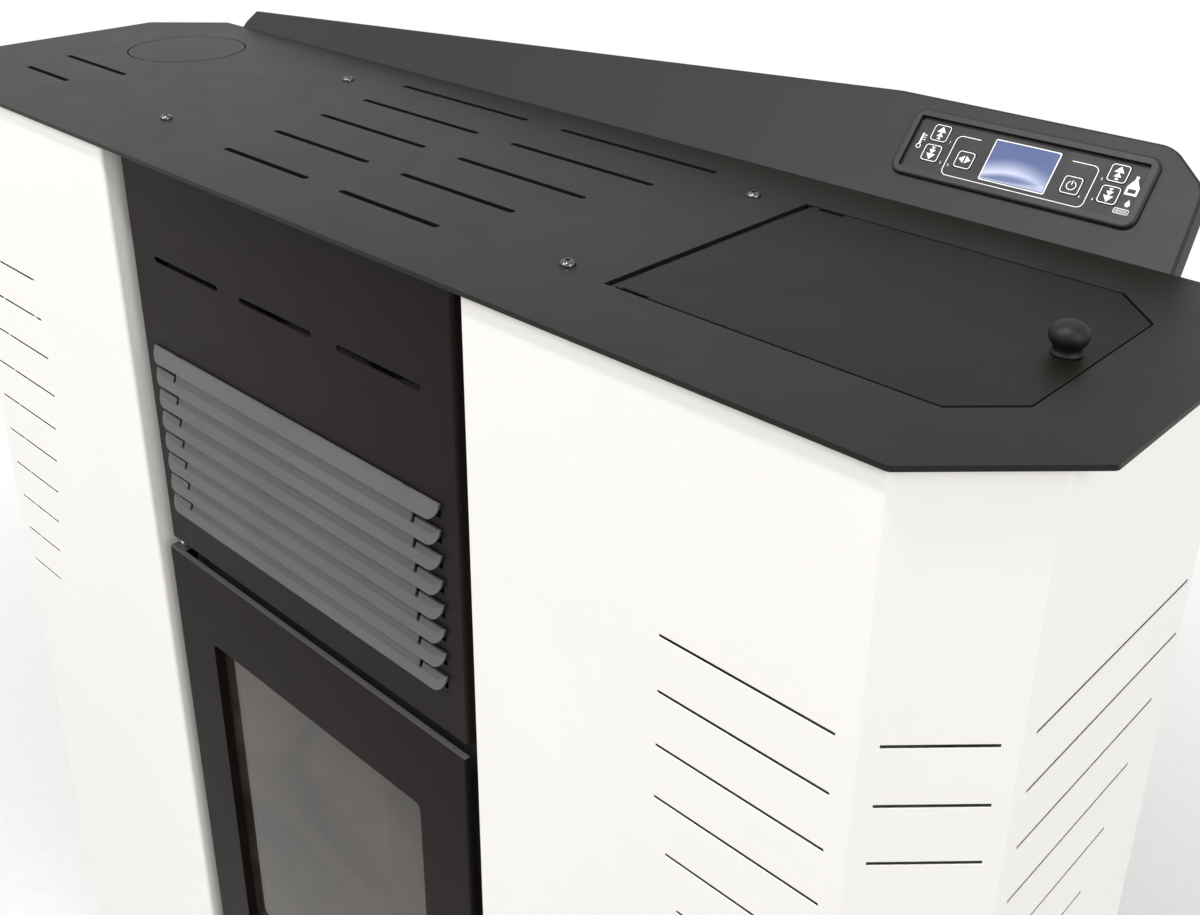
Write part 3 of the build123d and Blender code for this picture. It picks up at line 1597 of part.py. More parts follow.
def smoke_impeller():
    d, z = smoke_axis_depth, smoke_axis_z
    start = smoke_left + smoke_wall + impeller_gap
    width = smoke_width - 2 * smoke_wall - 2 * impeller_gap
    shaft = rod(smoke_left - 14.0, d, z, impeller_shaft_radius, 14.0 + impeller_gap + smoke_wall, "X")
    wheel = shaft + rod(start, d, z, impeller_hub_radius, width * 0.6, "X")
    wheel += rod(start, d, z, impeller_radius, 2.0, "X")
    length = impeller_radius - impeller_hub_radius + 1.0
    blade = Box(width, impeller_blade_sheet, length)
    for i in range(impeller_blades):
        turn = Rot(i * 360 / impeller_blades, 0, 0)
        place = Pos(start + width / 2, 0, (impeller_radius + impeller_hub_radius) / 2 - 1.0)
        wheel += Pos(0, back(d), z) * turn * place * blade
    return wheel


def smoke_motor():
    start = smoke_left - smoke_motor_length
    motor = rod(start, smoke_axis_depth, smoke_axis_z, smoke_motor_radius, smoke_motor_length, "X")
    return motor - rod(smoke_left - 15.0, smoke_axis_depth, smoke_axis_z,
                       impeller_shaft_radius + running_gap, 15.0, "X")


def flue_tee():
    """Cross pipe from the extractor, an upright body and the spigot through the rear panel."""
    r, wall = flue_radius, flue_wall
    x, d, z = knock_out_x, knock_out_depth, flue_z
    end = cover_depth + flue_stub
    cross_length = smoke_right - x
    outer = rod(x, d, z, r, cross_length, "X") + rod(x, d, z, r, end - d, "Y")
    outer += rod(x, d, z - flue_tee_height / 2, r, flue_tee_height)
    inner = rod(x, d, z, r - wall, cross_length - wall, "X") + rod(x, d, z, r - wall, end - d, "Y")
    inner += rod(x, d, z - flue_tee_height / 2 + wall, r - wall, flue_tee_height - wall)
    port = block((smoke_left + smoke_wall, smoke_right - smoke_wall),
                 (smoke_riser_front + smoke_wall, smoke_riser_rear - smoke_wall), (z - r - 1.0, z))
    saddle = block((smoke_left, smoke_right), (smoke_riser_front, smoke_riser_rear), (z - r, z))
    collar = rod(x, cover_depth, z, r + collar_rise, collar_width, "Y")
    return outer + saddle + collar - inner - port + flue_cap()


def flue_cap():
    """Lid on the tee's upright body, under the knock-out."""
    top = flue_z + flue_tee_height / 2
    cap = rod(knock_out_x, knock_out_depth, top, flue_radius, 2.0)
    return cap + pipe(knock_out_x, knock_out_depth, top - 12.0, flue_radius - flue_wall, 1.5, 12.0)


# ---- Electrical parts ----
def power_inlet():
    x, z = inlet_x, inlet_z
    half_w, half_h = inlet_width / 2, inlet_height / 2
    flange = block((x - half_w - inlet_flange, x + half_w + inlet_flange),
                   (cover_depth, cover_depth + inlet_flange_sheet),
                   (z - half_h - inlet_flange, z + half_h + inlet_flange))
    body = block((x - half_w, x + half_w), (cover_depth - inlet_body, cover_depth),
                 (z - half_h, z + half_h))
    wall = inlet_socket_wall
    socket = block((x - half_w + wall, x + half_w - wall),
                   (cover_depth - inlet_body + 6.0, cover_depth + inlet_flange_sheet),
                   (z - half_h + wall, z + half_h - wall))
    part = flange + body - socket
    for dx, dz in ((-7.0, -2.0), (0.0, 2.0), (7.0, -2.0)):
        part += block((x + dx - 1.0, x + dx + 1.0), (cover_depth - inlet_body + 6.0, cover_depth - 4.0),
                      (z + dz - 2.0, z + dz + 2.0))
    return part + switch_frame()


def switch_frame():
    x, z, wall = switch_x, inlet_z, switch_wall
    half_w, half_h = switch_width / 2, switch_height / 2
    frame = block((x - half_w, x + half_w), (cover_depth - 20.0, cover_depth), (z - half_h, z + half_h))
    frame += block((x - half_w - 3.0, x + half_w + 3.0), (cover_depth, cover_depth + 2.0),
                   (z - half_h - 3.0, z + half_h + 3.0))
    frame -= block((x - half_w + wall, x + half_w - wall), (cover_depth - 14.0, cover_depth + 2.0),
                   (z - half_h + wall, z + half_h - wall))
    return frame - rod(x - half_w, cover_depth - rocker_axis_inset, z,
                       rocker_pin_radius + running_gap, switch_width, "X")


def switch_rocker():
    """Paddle on a cross pin, high at both ends, tilted into its off position."""
    x, z = switch_x, inlet_z
    half_w = switch_width / 2 - switch_wall - rocker_gap
    half_h = switch_height / 2 - switch_wall - 1.2
    rear = cover_depth + 2.0
    points = [(cover_depth - 5.0, z - 3.0), (cover_depth - 5.0, z + 3.0),
              (rear - 1.0, z + half_h), (rear + rocker_proud, z + half_h), (rear, z),
              (rear + rocker_proud, z - half_h), (rear - 1.0, z - half_h)]
    paddle = side_prism(points, (x - half_w, x + half_w))
    paddle += rod(x - switch_width / 2, cover_depth - rocker_axis_inset, z, rocker_pin_radius,
                  switch_width, "X")
    pivot = Pos(0, back(cover_depth - rocker_axis_inset), z)
    return pivot * Rot(-rocker_tilt, 0, 0) * pivot.inverse() * paddle


def control_board():
    half_w, half_h = control_width / 2, control_height / 2
    rear = casing_rear - control_standoff
    board = block((control_x - half_w, control_x + half_w), (rear - board_thickness, rear),
                  (control_z - half_h, control_z + half_h))
    for dx in (-half_w + 8.0, half_w - 8.0):
        for dz in (-half_h + 8.0, half_h - 8.0):
            board += rod(control_x + dx, rear, control_z + dz, 3.0, control_standoff, "Y")
    face = rear - board_thickness
    for dx, dz, width, height, deep in ((-45.0, 20.0, 40.0, 46.0, 30.0), (8.0, 30.0, 28.0, 20.0, 16.0),
                                        (44.0, 30.0, 28.0, 20.0, 16.0), (30.0, -12.0, 30.0, 30.0, 5.0),
                                        (0.0, -50.0, 120.0, 10.0, 12.0)):
        board += block((control_x + dx - width / 2, control_x + dx + width / 2), (face - deep, face),
                       (control_z + dz - height / 2, control_z + dz + height / 2))
    return board


parts = {
    "top_cover": top_cover, "top_cover_screws": top_cover_screws, "hopper_lid": hopper_lid,
    "lid_gasket": lid_gasket, "lid_knob": lid_knob,
    "hopper": hopper, "hopper_grille": hopper_grille, "auger_tube": auger_tube,
    "auger_screw": auger_screw, "auger_motor": auger_motor, "pellet_chute": pellet_chute,
    "left_side_casing": left_side_casing, "right_side_casing": right_side_casing,
    "base_plate": base_plate, "levelling_feet": levelling_feet, "rear_panel": rear_panel,
    "console_plate": console_plate, "display_bezel": display_bezel,
    "display_lens": display_lens, "display_board": display_board,
    "left_bay_wall": left_bay_wall, "right_bay_wall": right_bay_wall,
    "upper_front_panel": upper_front_panel, "louvre_grille": louvre_grille,
    "lower_front_panel": lower_front_panel, "door_frame": door_frame_piece,
    "door_hinge_pins": door_hinge_pins, "door_hinge_brackets": door_hinge_brackets,
    "door_glass": door_glass, "glass_clips": glass_clips, "door_seal": door_seal,
    "latch_spindle": latch_spindle, "latch_knob": latch_knob,
    "drawer_front": drawer_front, "ash_pan": ash_pan, "drawer_runners": drawer_runners,
    "firebox": firebox, "firebox_linings": firebox_linings, "baffle": baffle,
    "burn_pot_seat": burn_pot_seat, "burn_pot": burn_pot, "igniter": igniter,
    "combustion_air_box": combustion_air_box, "heat_exchanger": heat_exchanger,
    "room_air_duct": room_air_duct, "room_fan_rotor": room_fan_rotor,
    "room_fan_motor": room_fan_motor, "smoke_housing": smoke_housing,
    "smoke_impeller": smoke_impeller, "smoke_motor": smoke_motor, "flue_tee": flue_tee,
    "power_inlet": power_inlet, "switch_rocker": switch_rocker, "control_board": control_board,
}


def write_parts():
    os.makedirs("parts", exist_ok=True)
    for name, make in parts.items():
        made = make()
        shape = Compound(children=list(made)) if isinstance(made, list) else single(made)
        export_step(shape, f"parts/{name}.step")
    for name, (x, up) in key_places().items():
        export_step(single(key_cap(x, up)), f"parts/{name}.step")


write_parts()
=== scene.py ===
"""Slim corridor pellet stove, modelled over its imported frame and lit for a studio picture."""
from math import cos, pi, radians, sin, tan

import bmesh
import bpy
from bpy.props import FloatProperty, FloatVectorProperty, IntProperty, PointerProperty
from bpy.types import Operator, Panel, PropertyGroup
from mathutils import Matrix, Vector


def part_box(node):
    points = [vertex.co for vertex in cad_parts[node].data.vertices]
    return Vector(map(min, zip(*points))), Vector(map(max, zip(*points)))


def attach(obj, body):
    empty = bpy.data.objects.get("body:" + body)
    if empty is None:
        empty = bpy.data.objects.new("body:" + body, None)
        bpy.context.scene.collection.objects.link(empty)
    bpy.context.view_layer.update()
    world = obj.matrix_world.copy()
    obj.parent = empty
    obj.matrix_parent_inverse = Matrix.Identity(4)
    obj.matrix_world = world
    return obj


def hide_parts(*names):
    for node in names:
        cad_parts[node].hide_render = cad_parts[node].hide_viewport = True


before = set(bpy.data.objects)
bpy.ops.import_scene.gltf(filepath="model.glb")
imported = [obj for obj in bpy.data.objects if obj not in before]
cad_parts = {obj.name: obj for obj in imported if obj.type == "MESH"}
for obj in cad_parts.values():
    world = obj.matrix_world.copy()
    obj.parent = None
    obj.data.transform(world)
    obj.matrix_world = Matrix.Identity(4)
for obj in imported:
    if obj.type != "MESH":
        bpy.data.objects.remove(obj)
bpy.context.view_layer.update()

bl_info = {
    "name": "Corridor Pellet Stove",
    "version": (1, 0, 0),
    "blender": (4, 5, 0),
    "location": "3D View > Sidebar > Stove",
    "description": "Models the stove's sheet metal, grille, door and console, and lights it",
    "category": "Object",
}


def box_of(node):
    """Low and high corner of a frame node."""
    return [Vector(corner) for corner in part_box(node)]


COVER_LOW, COVER_HIGH = box_of("top_cover")
FRONT = COVER_LOW.y
REAR = COVER_HIGH.y
TOP = COVER_HIGH.z
MARGIN = 0.001  # reach of a cutter past what it cuts
SCREW_DEPTHS = (0.067, 0.233)  # of the cover's screws behind its front edge
RING_SLOTS = ((0.113, 0.0976), (0.070, 0.0686))  # depth and length of the slots by the ring
GRILLE_TOP = TOP - 0.1493  # bend of the top blade
# Middle of each key from the display's middle, along the console and up it.
KEYS = {"key_left_up": (-0.058, 0.0095), "key_left_down": (-0.058, -0.0047),
        "key_set": (-0.035, -0.0043), "key_power": (0.035, -0.0043),
        "key_right_up": (0.058, 0.0095), "key_right_down": (0.058, -0.0047)}


def at(depth):
    """World Y of a depth behind the cover's front edge."""
    return FRONT + depth


def span(side, inner, outer):
    """Low and high X of a stretch to the left (-1) or right (1) of the middle."""
    return sorted((side * inner, side * outer))


# ---- Properties ----
def length(name, description, mm):
    """Length property whose default is given in millimetres."""
    return FloatProperty(name=name, description=description, default=mm / 1000, min=0.0,
                         precision=4, unit="LENGTH", subtype="DISTANCE")


def colour(name, description, default):
    """Colour property."""
    return FloatVectorProperty(name=name, description=description, default=default, size=3,
                               min=0.0, max=1.0, subtype="COLOR")


def power(name, description, watts):
    """Property of a light's power."""
    return FloatProperty(name=name, description=description, default=watts, min=0.0,
                         unit="POWER")


class CoverSizes(PropertyGroup):
    front_cut: length("Front corner cut", "Length cut off each front corner", 67.0)
    rear_cut: length("Rear corner cut", "Length cut off each rear corner", 52.0)
    edge: length("Edge rounding", "Rounding of the painted plate edges", 0.45)
    slot_width: length("Slot width", "Width of the vent slots", 5.0)
    slot_pitch: length("Slot pitch", "Distance between the rows of vent slots", 49.3)
    slot_middle: length("Slot field middle", "Depth of the middle row of slots", 154.5)
    slot_inner: length("Slot inner end", "Distance from the plate's middle to each slot", 17.6)
    slot_first: length("First slot length", "Length of the slots in the front row", 95.0)
    slot_step: length("Slot step", "Added length of each further row", 12.5)
    ring_x: length("Ring place", "Distance of the pressed ring to the left of the middle", 400.0)
    ring_depth: length("Ring depth", "Depth of the pressed ring's centre", 200.0)
    ring_radius: length("Ring radius", "Outer radius of the pressed ring", 51.0)
    ring_cut: length("Ring cut", "Width of the pressed ring's cut", 1.1)
    opening_left: length("Opening left", "Left edge of the hopper opening", 242.0)
    opening_right: length("Opening right", "Right edge of the hopper opening", 475.0)
    opening_front: length("Opening front", "Front edge depth of the hopper opening", 60.5)
    opening_rear: length("Opening rear", "Rear edge depth of the hopper opening", 244.0)
    opening_cut: length("Opening corner cut", "Cut of the opening's right corners", 28.4)
    lid_gap: length("Lid gap", "Gap round the hopper lid", 1.0)
    hinge_gap: length("Hinge gap", "Gap on the hinge side of the lid", 5.7)
    screw_x: length("Screw place", "Distance of the cover screws from the middle", 209.0)


class CasingSizes(PropertyGroup):
    setback: length("Setback", "Depth of the casings' front faces", 3.0)
    fold: length("Front fold", "Width of the 45 degree face", 54.0)
    rear_fold: length("Rear fold", "Width of the rear 45 degree face", 40.0)
    inner: length("Bay edge", "Inner edge of a casing from the middle", 191.0)
    side: length("Side", "Outer face of a casing from the middle", 510.0)
    sheet: length("Sheet", "Thickness of the casing sheet", 0.8)
    bend: length("Bend", "Outer radius of the folds", 3.0)
    slot_rows: IntProperty(name="Slot rows", description="Rows of slots in a casing", default=10)
    slot_pitch: length("Slot pitch", "Distance between slot rows", 35.1)
    slot_width: length("Slot width", "Width of the slots", 2.0)
    slot_drop: length("First slot drop", "Drop of the first slot under the plate's top", 148.0)


class FrontSizes(PropertyGroup):
    half: length("Half width", "Half the width of the door and the panels", 177.0)
    depth: length("Panel depth", "Depth of the panels' front faces", 10.0)
    sheet: length("Panel sheet", "Thickness of the panel sheet", 1.5)
    slot_length: length("Slot length", "Length of the three slots over the grille", 80.0)
    slot_pitch: length("Slot pitch", "Distance between those slots' middles", 106.0)
    slot_width: length("Slot width", "Width of those slots", 4.0)
    blade_count: IntProperty(name="Blades", description="Blades of the grille", default=8)
    blade_pitch: length("Blade pitch", "Distance between the blades", 18.0)
    blade_height: length("Blade height", "Height of a blade", 11.2)
    blade_reach: length("Blade reach", "Distance that a blade's lip stands out", 4.6)
    blade_half: length("Blade half length", "Half the length of a blade", 160.0)
    blade_round: length("Blade end rounding", "Radius of a blade's lower corners", 9.5)
    door_bevel: length("Door bevel", "Bevel round the door's front", 2.0)
    window_half: length("Window half width", "Half the width of the window", 127.2)
    window_border: length("Window border", "Frame over and under the window", 70.0)


class ConsoleSizes(PropertyGroup):
    tilt: FloatProperty(name="Tilt", description="Angle of the console from the level",
                        default=radians(48.2), unit="ROTATION", subtype="ANGLE")
    low: length("Low height", "Height of the console's left end", 19.5)
    high: length("Full height", "Height of the console's right part", 75.0)
    display_x: length("Display place", "Distance of the display to the right of the middle", 343.5)
    display_up: length("Display height", "Height of the display's middle up the console", 41.4)
    bezel_width: length("Bezel width", "Width of the display's frame", 160.0)
    bezel_height: length("Bezel height", "Height of the display's frame", 47.0)
    bezel_rise: length("Bezel rise", "Height that the frame stands proud", 3.0)
    screen_width: length("Screen width", "Width of the lit screen", 41.4)
    screen_height: length("Screen height", "Height of the lit screen", 26.8)
    lip: length("Bezel lip", "Width of the frame's lip", 5.5)
    key: length("Key size", "Width of a key", 12.0)
    line: length("Line width", "Width of the printed lines", 0.5)


class Finishes(PropertyGroup):
    cover: colour("Cover paint", "Fine textured charcoal of the plate", (0.0046, 0.0037, 0.0022))
    panel: colour("Panel paint", "Near-black brown of door and panels", (0.0086, 0.0060, 0.0052))
    casing: colour("Casing paint", "Warm white of the casings", (0.872, 0.853, 0.818))
    grille: colour("Grille paint", "Mid grey of the louvre grille", (0.097, 0.097, 0.095))
    console: colour("Console paint", "Charcoal of the console", (0.0085, 0.0083, 0.0083))
    window: colour("Window glass", "Tint of the window glass", (0.20, 0.160, 0.130))
    screen: colour("Screen", "Blue of the lit display", (0.046, 0.072, 0.185))
    print_white: colour("Print", "White of the printed key marks", (0.80, 0.80, 0.80))


class StudioSettings(PropertyGroup):
    key_power: power("Key light", "Power of the large soft light", 64.0)
    top_power: power("Top light", "Power of the small light overhead", 50.0)
    fill_power: power("Fill light", "Power of the light on the right", 48.0)
    world: FloatProperty(name="World light", description="Strength of the light from all round",
                         default=0.36, min=0.0, max=2.0, subtype="FACTOR")
    lens: FloatProperty(name="Lens", description="Focal length of the camera", default=41.31,
                        min=1.0, unit="CAMERA")


# ---- Selecting and shaping ----
def only(*objects):
    """Select these objects alone and make the first one active."""
    bpy.ops.object.select_all(action="DESELECT")
    for obj in objects:
        obj.select_set(True)
    bpy.context.view_layer.objects.active = objects[0]


def settle(obj):
    """Put an object's place, turn and size into its mesh."""
    only(obj)
    bpy.ops.object.transform_apply(location=True, rotation=True, scale=True)
    return obj


def added(name):
    """Name the object that was just added, and settle it."""
    obj = bpy.context.active_object
    obj.name = name
    return settle(obj)


def edit(obj, kind="EDGE"):
    """Enter edit mode on an object with nothing selected."""
    only(obj)
    bpy.ops.object.mode_set(mode="EDIT")
    bpy.ops.mesh.select_mode(type=kind)
    bpy.ops.mesh.select_all(action="DESELECT")


def leave():
    """Leave edit mode."""
    bpy.ops.object.mode_set(mode="OBJECT")


def select_all():
    """In edit mode, select the whole mesh."""
    bpy.ops.mesh.select_all(action="SELECT")


def pick(obj, kind, test):
    """In edit mode, select the vertices, edges or faces that pass a test."""
    bpy.ops.mesh.select_mode(type=kind)
    bpy.ops.mesh.select_all(action="DESELECT")
    mesh = bmesh.from_edit_mesh(obj.data)
    chosen = [item for item in {"VERT": mesh.verts, "EDGE": mesh.edges, "FACE": mesh.faces}[kind]
              if test(item)]
    if not chosen:
        leave()
        raise RuntimeError(f"{obj.name}: nothing to select")
    for item in chosen:
        item.select_set(True)
    mesh.select_flush_mode()
    bmesh.update_edit_mesh(obj.data)


def bevel(width, segments, affect="EDGES", clamp=False):
    """In edit mode, bevel the selected edges or corners."""
    bpy.ops.mesh.bevel(offset=width, offset_type="OFFSET", segments=segments, affect=affect,
                       clamp_overlap=clamp)


def bevel_where(obj, test, width, segments, clamp=False):
    """Bevel the edges of an object that pass a test."""
    edit(obj)
    pick(obj, "EDGE", test)
    bevel(width, segments, clamp=clamp)
    leave()


def extrude(*move):
    """In edit mode, extrude what is selected by a move."""
    bpy.ops.mesh.extrude_region_move(TRANSFORM_OT_translate={"value": move})


def near(value, target):
    """True for two values that are the same but for rounding."""
    return abs(value - target) < 1e-5


def middle(edge):
    """Middle of an edge."""
    return (edge.verts[0].co + edge.verts[1].co) / 2


def runs_along(edge, axis):
    """True for an edge parallel to a world axis, given as 0, 1 or 2."""
    run = edge.verts[1].co - edge.verts[0].co
    return run.length > 1e-7 and abs(run[axis]) > 0.999 * run.length


def upright_at(edge, x, y):
    """True for an upright edge at a place in plan."""
    return runs_along(edge, 2) and near(middle(edge).x, x) and near(middle(edge).y, y)


def lies_at(edge, axis, value):
    """True for an edge whose two ends have one value along a world axis."""
    return all(near(vert.co[axis], value) for vert in edge.verts)


def block(name, low, high, turn=0.0):
    """Cube primitive between two corners, turned about its own upright axis."""
    low, high = Vector(low), Vector(high)
    bpy.ops.mesh.primitive_cube_add(size=1, location=(low + high) / 2, rotation=(0, 0, turn),
                                    scale=high - low)
    return added(name)


def plane(name, width, height, centre=(0, 0, 0), turn=(0, 0, 0)):
    """Plane primitive of a width and height about a point."""
    bpy.ops.mesh.primitive_plane_add(size=1, location=centre, rotation=turn)
    bpy.context.active_object.scale = (width, height, 1)
    return added(name)


def disc(name, radius, x=0.0, y=0.0, sides=32, turn=0.0, z=0.0):
    """Filled circle, or a polygon of few sides, about a point."""
    bpy.ops.mesh.primitive_circle_add(vertices=sides, radius=radius, fill_type="NGON",
                                      location=(x, y, z), rotation=(0, 0, turn))
    return added(name)


def cylinder(name, start, radius, depth, axis="Z", sides=48):
    """Cylinder primitive that starts at a point and runs along Y or Z."""
    way, turn = {"Y": ((0, 1, 0), (-pi / 2, 0, 0)), "Z": ((0, 0, 1), (0, 0, 0))}[axis]
    bpy.ops.mesh.primitive_cylinder_add(
        vertices=sides, radius=radius, depth=depth, rotation=turn,
        location=Vector(start) + Vector(way) * depth / 2)
    return added(name)


def join(name, objects):
    """Join objects into one."""
    only(*objects)
    if len(objects) > 1:
        bpy.ops.object.join()
    obj = bpy.context.active_object
    obj.name = name
    obj.data.name = name
    return obj


def copy_of(obj, name, move=(0, 0, 0)):
    """Copy of an object with a mesh of its own, moved."""
    only(obj)
    bpy.ops.object.duplicate(linked=False)
    twin = bpy.context.active_object
    twin.name = name
    twin.data.name = name
    edit(twin)
    select_all()
    bpy.ops.transform.translate(value=move)
    leave()
    return twin


def copies(model, moves):
    """Copies of a model moved by each of the moves, in place of the model."""
    twins = [copy_of(model, f"{model.name}_{i}", move) for i, move in enumerate(moves)]
    bpy.data.objects.remove(model)
    return twins


def apply_modifier(obj, kind, **values):
    """Add a modifier, set it and apply it."""
    only(obj)
    bpy.ops.object.modifier_add(type=kind)
    modifier = obj.modifiers[-1]
    for key, value in values.items():
        setattr(modifier, key, value)
    bpy.ops.object.modifier_apply(modifier=modifier.name)


def cut(obj, cutter):
    """Cut one object with another and remove the cutter."""
    apply_modifier(obj, "BOOLEAN", operation="DIFFERENCE", solver="EXACT", object=cutter)
    bpy.data.objects.remove(cutter)
    return obj


def turn_out(obj, merge=1e-6):
    """Merge doubles and point the faces of a closed shape outwards, or of a sheet one way."""
    edit(obj, "FACE")
    select_all()
    bpy.ops.mesh.remove_doubles(threshold=merge)
    bpy.ops.mesh.normals_make_consistent(inside=False)
    leave()
    return obj


def sheet_of(obj, thickness, *way):
    """Face an open sheet towards a way and thicken it behind its faces."""
    way = Vector(way)
    broadest = max(obj.data.polygons, key=lambda face: face.area * abs(face.normal.dot(way)))
    if broadest.normal.dot(way) < 0:
        edit(obj, "FACE")
        select_all()
        bpy.ops.mesh.flip_normals()
        leave()
    apply_modifier(obj, "SOLIDIFY", thickness=thickness, offset=-1.0, use_even_offset=True)


def soften(obj, width, segments=2):
    """Round the sharp edges and shade the flats flat."""
    apply_modifier(obj, "BEVEL", width=width, segments=segments, limit_method="ANGLE",
                   angle_limit=radians(38), use_clamp_overlap=True)
    only(obj)
    bpy.ops.object.shade_smooth_by_angle(angle=radians(55))
    apply_modifier(obj, "WEIGHTED_NORMAL", keep_sharp=True, weight=80)
    return obj


def corner_cut(obj, x_side, y_side, size, segments=1):
    """Bevel the upright edges in one corner of a plate."""
    bevel_where(obj, lambda edge: upright_at(edge, x_side, y_side), size, segments)


def round_uprights(obj, radius, turn=45.0, segments=4):
    """Round every upright corner of a plate whose corners turn by one angle."""
    bevel_where(obj, lambda edge: runs_along(edge, 2), radius * tan(radians(turn) / 2), segments)


def lathe(name, rings, sides=48):
    """Turned shape about the upright axis from (radius, height) rings, extruded ring by ring."""
    radius, height = rings[0]
    obj = disc(name, radius, sides=sides, z=height)
    edit(obj, "FACE")
    select_all()
    for (r0, z0), (r1, z1) in zip(rings, rings[1:]):
        extrude(0, 0, z1 - z0)
        bpy.ops.transform.resize(value=(r1 / r0, r1 / r0, 1), center_override=(0, 0, z1))
    leave()
    return turn_out(obj)


def place(obj, position, turn=(0, 0, 0)):
    """Move and turn a shape made about the origin, and settle it."""
    obj.rotation_euler = turn
    obj.location = position
    return settle(obj)


def turned_knob(name, rings, sides, position, turn=(0, 0, 0)):
    """Turned knob with a smooth profile, put in its place."""
    knob = lathe(name, rings, sides)
    apply_modifier(knob, "SUBSURF", levels=1, render_levels=1)
    only(knob)
    bpy.ops.object.shade_smooth()
    return place(knob, position, turn)


def folded(name, points, low, high, sheet, radius=0.003):
    """Upright sheet folded along (x, y) points, rounded at its folds, facing the front."""
    start, end = [Vector((x, y, 0)) for x, y in points[:2]]
    run, up = end - start, Vector((0, 0, 1))
    bpy.ops.mesh.primitive_plane_add(size=1)
    turn = Matrix([run.normalized(), up, run.normalized().cross(up)]).transposed().to_4x4()
    bpy.context.active_object.matrix_world = Matrix.Translation(
        (start + end) / 2 + up * (low + high) / 2) @ turn @ Matrix.Diagonal(
            (run.length, high - low, 1, 1))
    obj = added(name)
    edit(obj)
    for (xa, ya), (xb, yb) in zip(points[1:], points[2:]):
        pick(obj, "EDGE", lambda edge: upright_at(edge, xa, ya))
        extrude(xb - xa, yb - ya, 0)
    for (x0, y0), (x1, y1), (x2, y2) in zip(points, points[1:], points[2:]):
        turn = Vector((x1 - x0, y1 - y0)).angle(Vector((x2 - x1, y2 - y1)))
        pick(obj, "EDGE", lambda edge: upright_at(edge, x1, y1))
        bevel(radius * tan(turn / 2), 5)
    leave()
    turn_out(obj)
    sheet_of(obj, sheet, 0, -1, 0)
    return obj


def slot_cutter(name, boxes):
    """One cutter of many slots, each (low corner, high corner, turn)."""
    return join(name, [block(f"{name}_{i}", low, high, turn)
                       for i, (low, high, turn) in enumerate(boxes)])


def round_slots(cutter, axis, width):
    """Round the ends of every slot in a cutter whose slots are cut along one axis."""
    bevel_where(cutter, lambda edge: runs_along(edge, axis), width * 0.48, 4)
    return cutter


def dress(obj, finish, body, node=None):
    """Give a finished piece its finish and body, and hide the frame node that it stands for."""
    obj.data.materials.clear()
    obj.data.materials.append(FINISH[finish])
    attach(obj, body)
    if node:
        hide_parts(node)


# ---- Materials ----
FINISH = {}


class Tree:
    """Node tree of one material, kept in FINISH under its name, with pattern coordinates."""

    def __init__(self, name, stretch=(1, 1, 1), turn=(0, 0, 0)):
        self.material = bpy.data.materials.new(name)
        FINISH[name] = self.material
        self.material.use_nodes = True
        self.nodes = self.material.node_tree.nodes
        self.links = self.material.node_tree.links
        self.nodes.clear()
        self.output = self.nodes.new("ShaderNodeOutputMaterial")
        self.shader = self.nodes.new("ShaderNodeBsdfPrincipled")
        self.links.new(self.shader.outputs["BSDF"], self.output.inputs["Surface"])
        coordinates = self.nodes.new("ShaderNodeTexCoord")
        mapping = self.nodes.new("ShaderNodeMapping")
        mapping.inputs["Scale"].default_value = stretch
        mapping.inputs["Rotation"].default_value = turn
        self.links.new(coordinates.outputs["Object"], mapping.inputs["Vector"])
        self.place = mapping.outputs["Vector"]
        self.facing = coordinates.outputs["Normal"]

    def put(self, socket, value):
        if isinstance(value, bpy.types.NodeSocket):
            self.links.new(value, socket)
        else:
            socket.default_value = value

    def add(self, kind, inputs):
        """Add a node of a kind with its inputs set or linked."""
        node = self.nodes.new(f"ShaderNode{kind}")
        for key, value in inputs.items():
            self.put(node.inputs[key], value)
        return node

    def noise(self, scale, detail=3.0, rough=0.5, distortion=0.0):
        return self.add("TexNoise", {
            "Vector": self.place, "Scale": scale, "Detail": detail, "Roughness": rough,
            "Distortion": distortion}).outputs["Fac"]

    def cells(self, scale, output="Distance"):
        return self.add("TexVoronoi", {"Vector": self.place, "Scale": scale}).outputs[output]

    def remap(self, value, low, high, to_low=0.0, to_high=1.0):
        return self.add("MapRange", {"Value": value, "From Min": low, "From Max": high,
                                     "To Min": to_low, "To Max": to_high}).outputs["Result"]

    def blend(self, factor, first, second):
        node = self.nodes.new("ShaderNodeMix")
        node.data_type = "RGBA"
        for index, value in ((0, factor), (6, first), (7, second)):
            self.put(node.inputs[index], value)
        return node.outputs[2]

    def sums(self, operation, first, second):
        node = self.add("Math", {0: first, 1: second})
        node.operation = operation
        return node.outputs[0]

    def upward(self, low, high):
        """From 0 to 1 as the surface turns from upright to level."""
        node = self.add("SeparateXYZ", {0: self.facing})
        return self.remap(node.outputs["Z"], low, high)

    def relief(self, height, distance, strength):
        return self.add("Bump", {"Strength": strength, "Distance": distance,
                                 "Height": height}).outputs["Normal"]

    def set(self, **values):
        """Set or link inputs of the shader by their short names."""
        names = {"color": "Base Color", "metal": "Metallic", "rough": "Roughness",
                 "normal": "Normal", "ior": "IOR", "specular": "Specular IOR Level",
                 "coat": "Coat Weight", "coat_rough": "Coat Roughness",
                 "clear": "Transmission Weight", "glow": "Emission Color",
                 "glow_strength": "Emission Strength"}
        for key, value in values.items():
            self.put(self.shader.inputs[names[key]], value)


def shade(rgb, factor):
    """Colour made darker or paler, with its alpha."""
    return (rgb[0] * factor, rgb[1] * factor, rgb[2] * factor, 1.0)


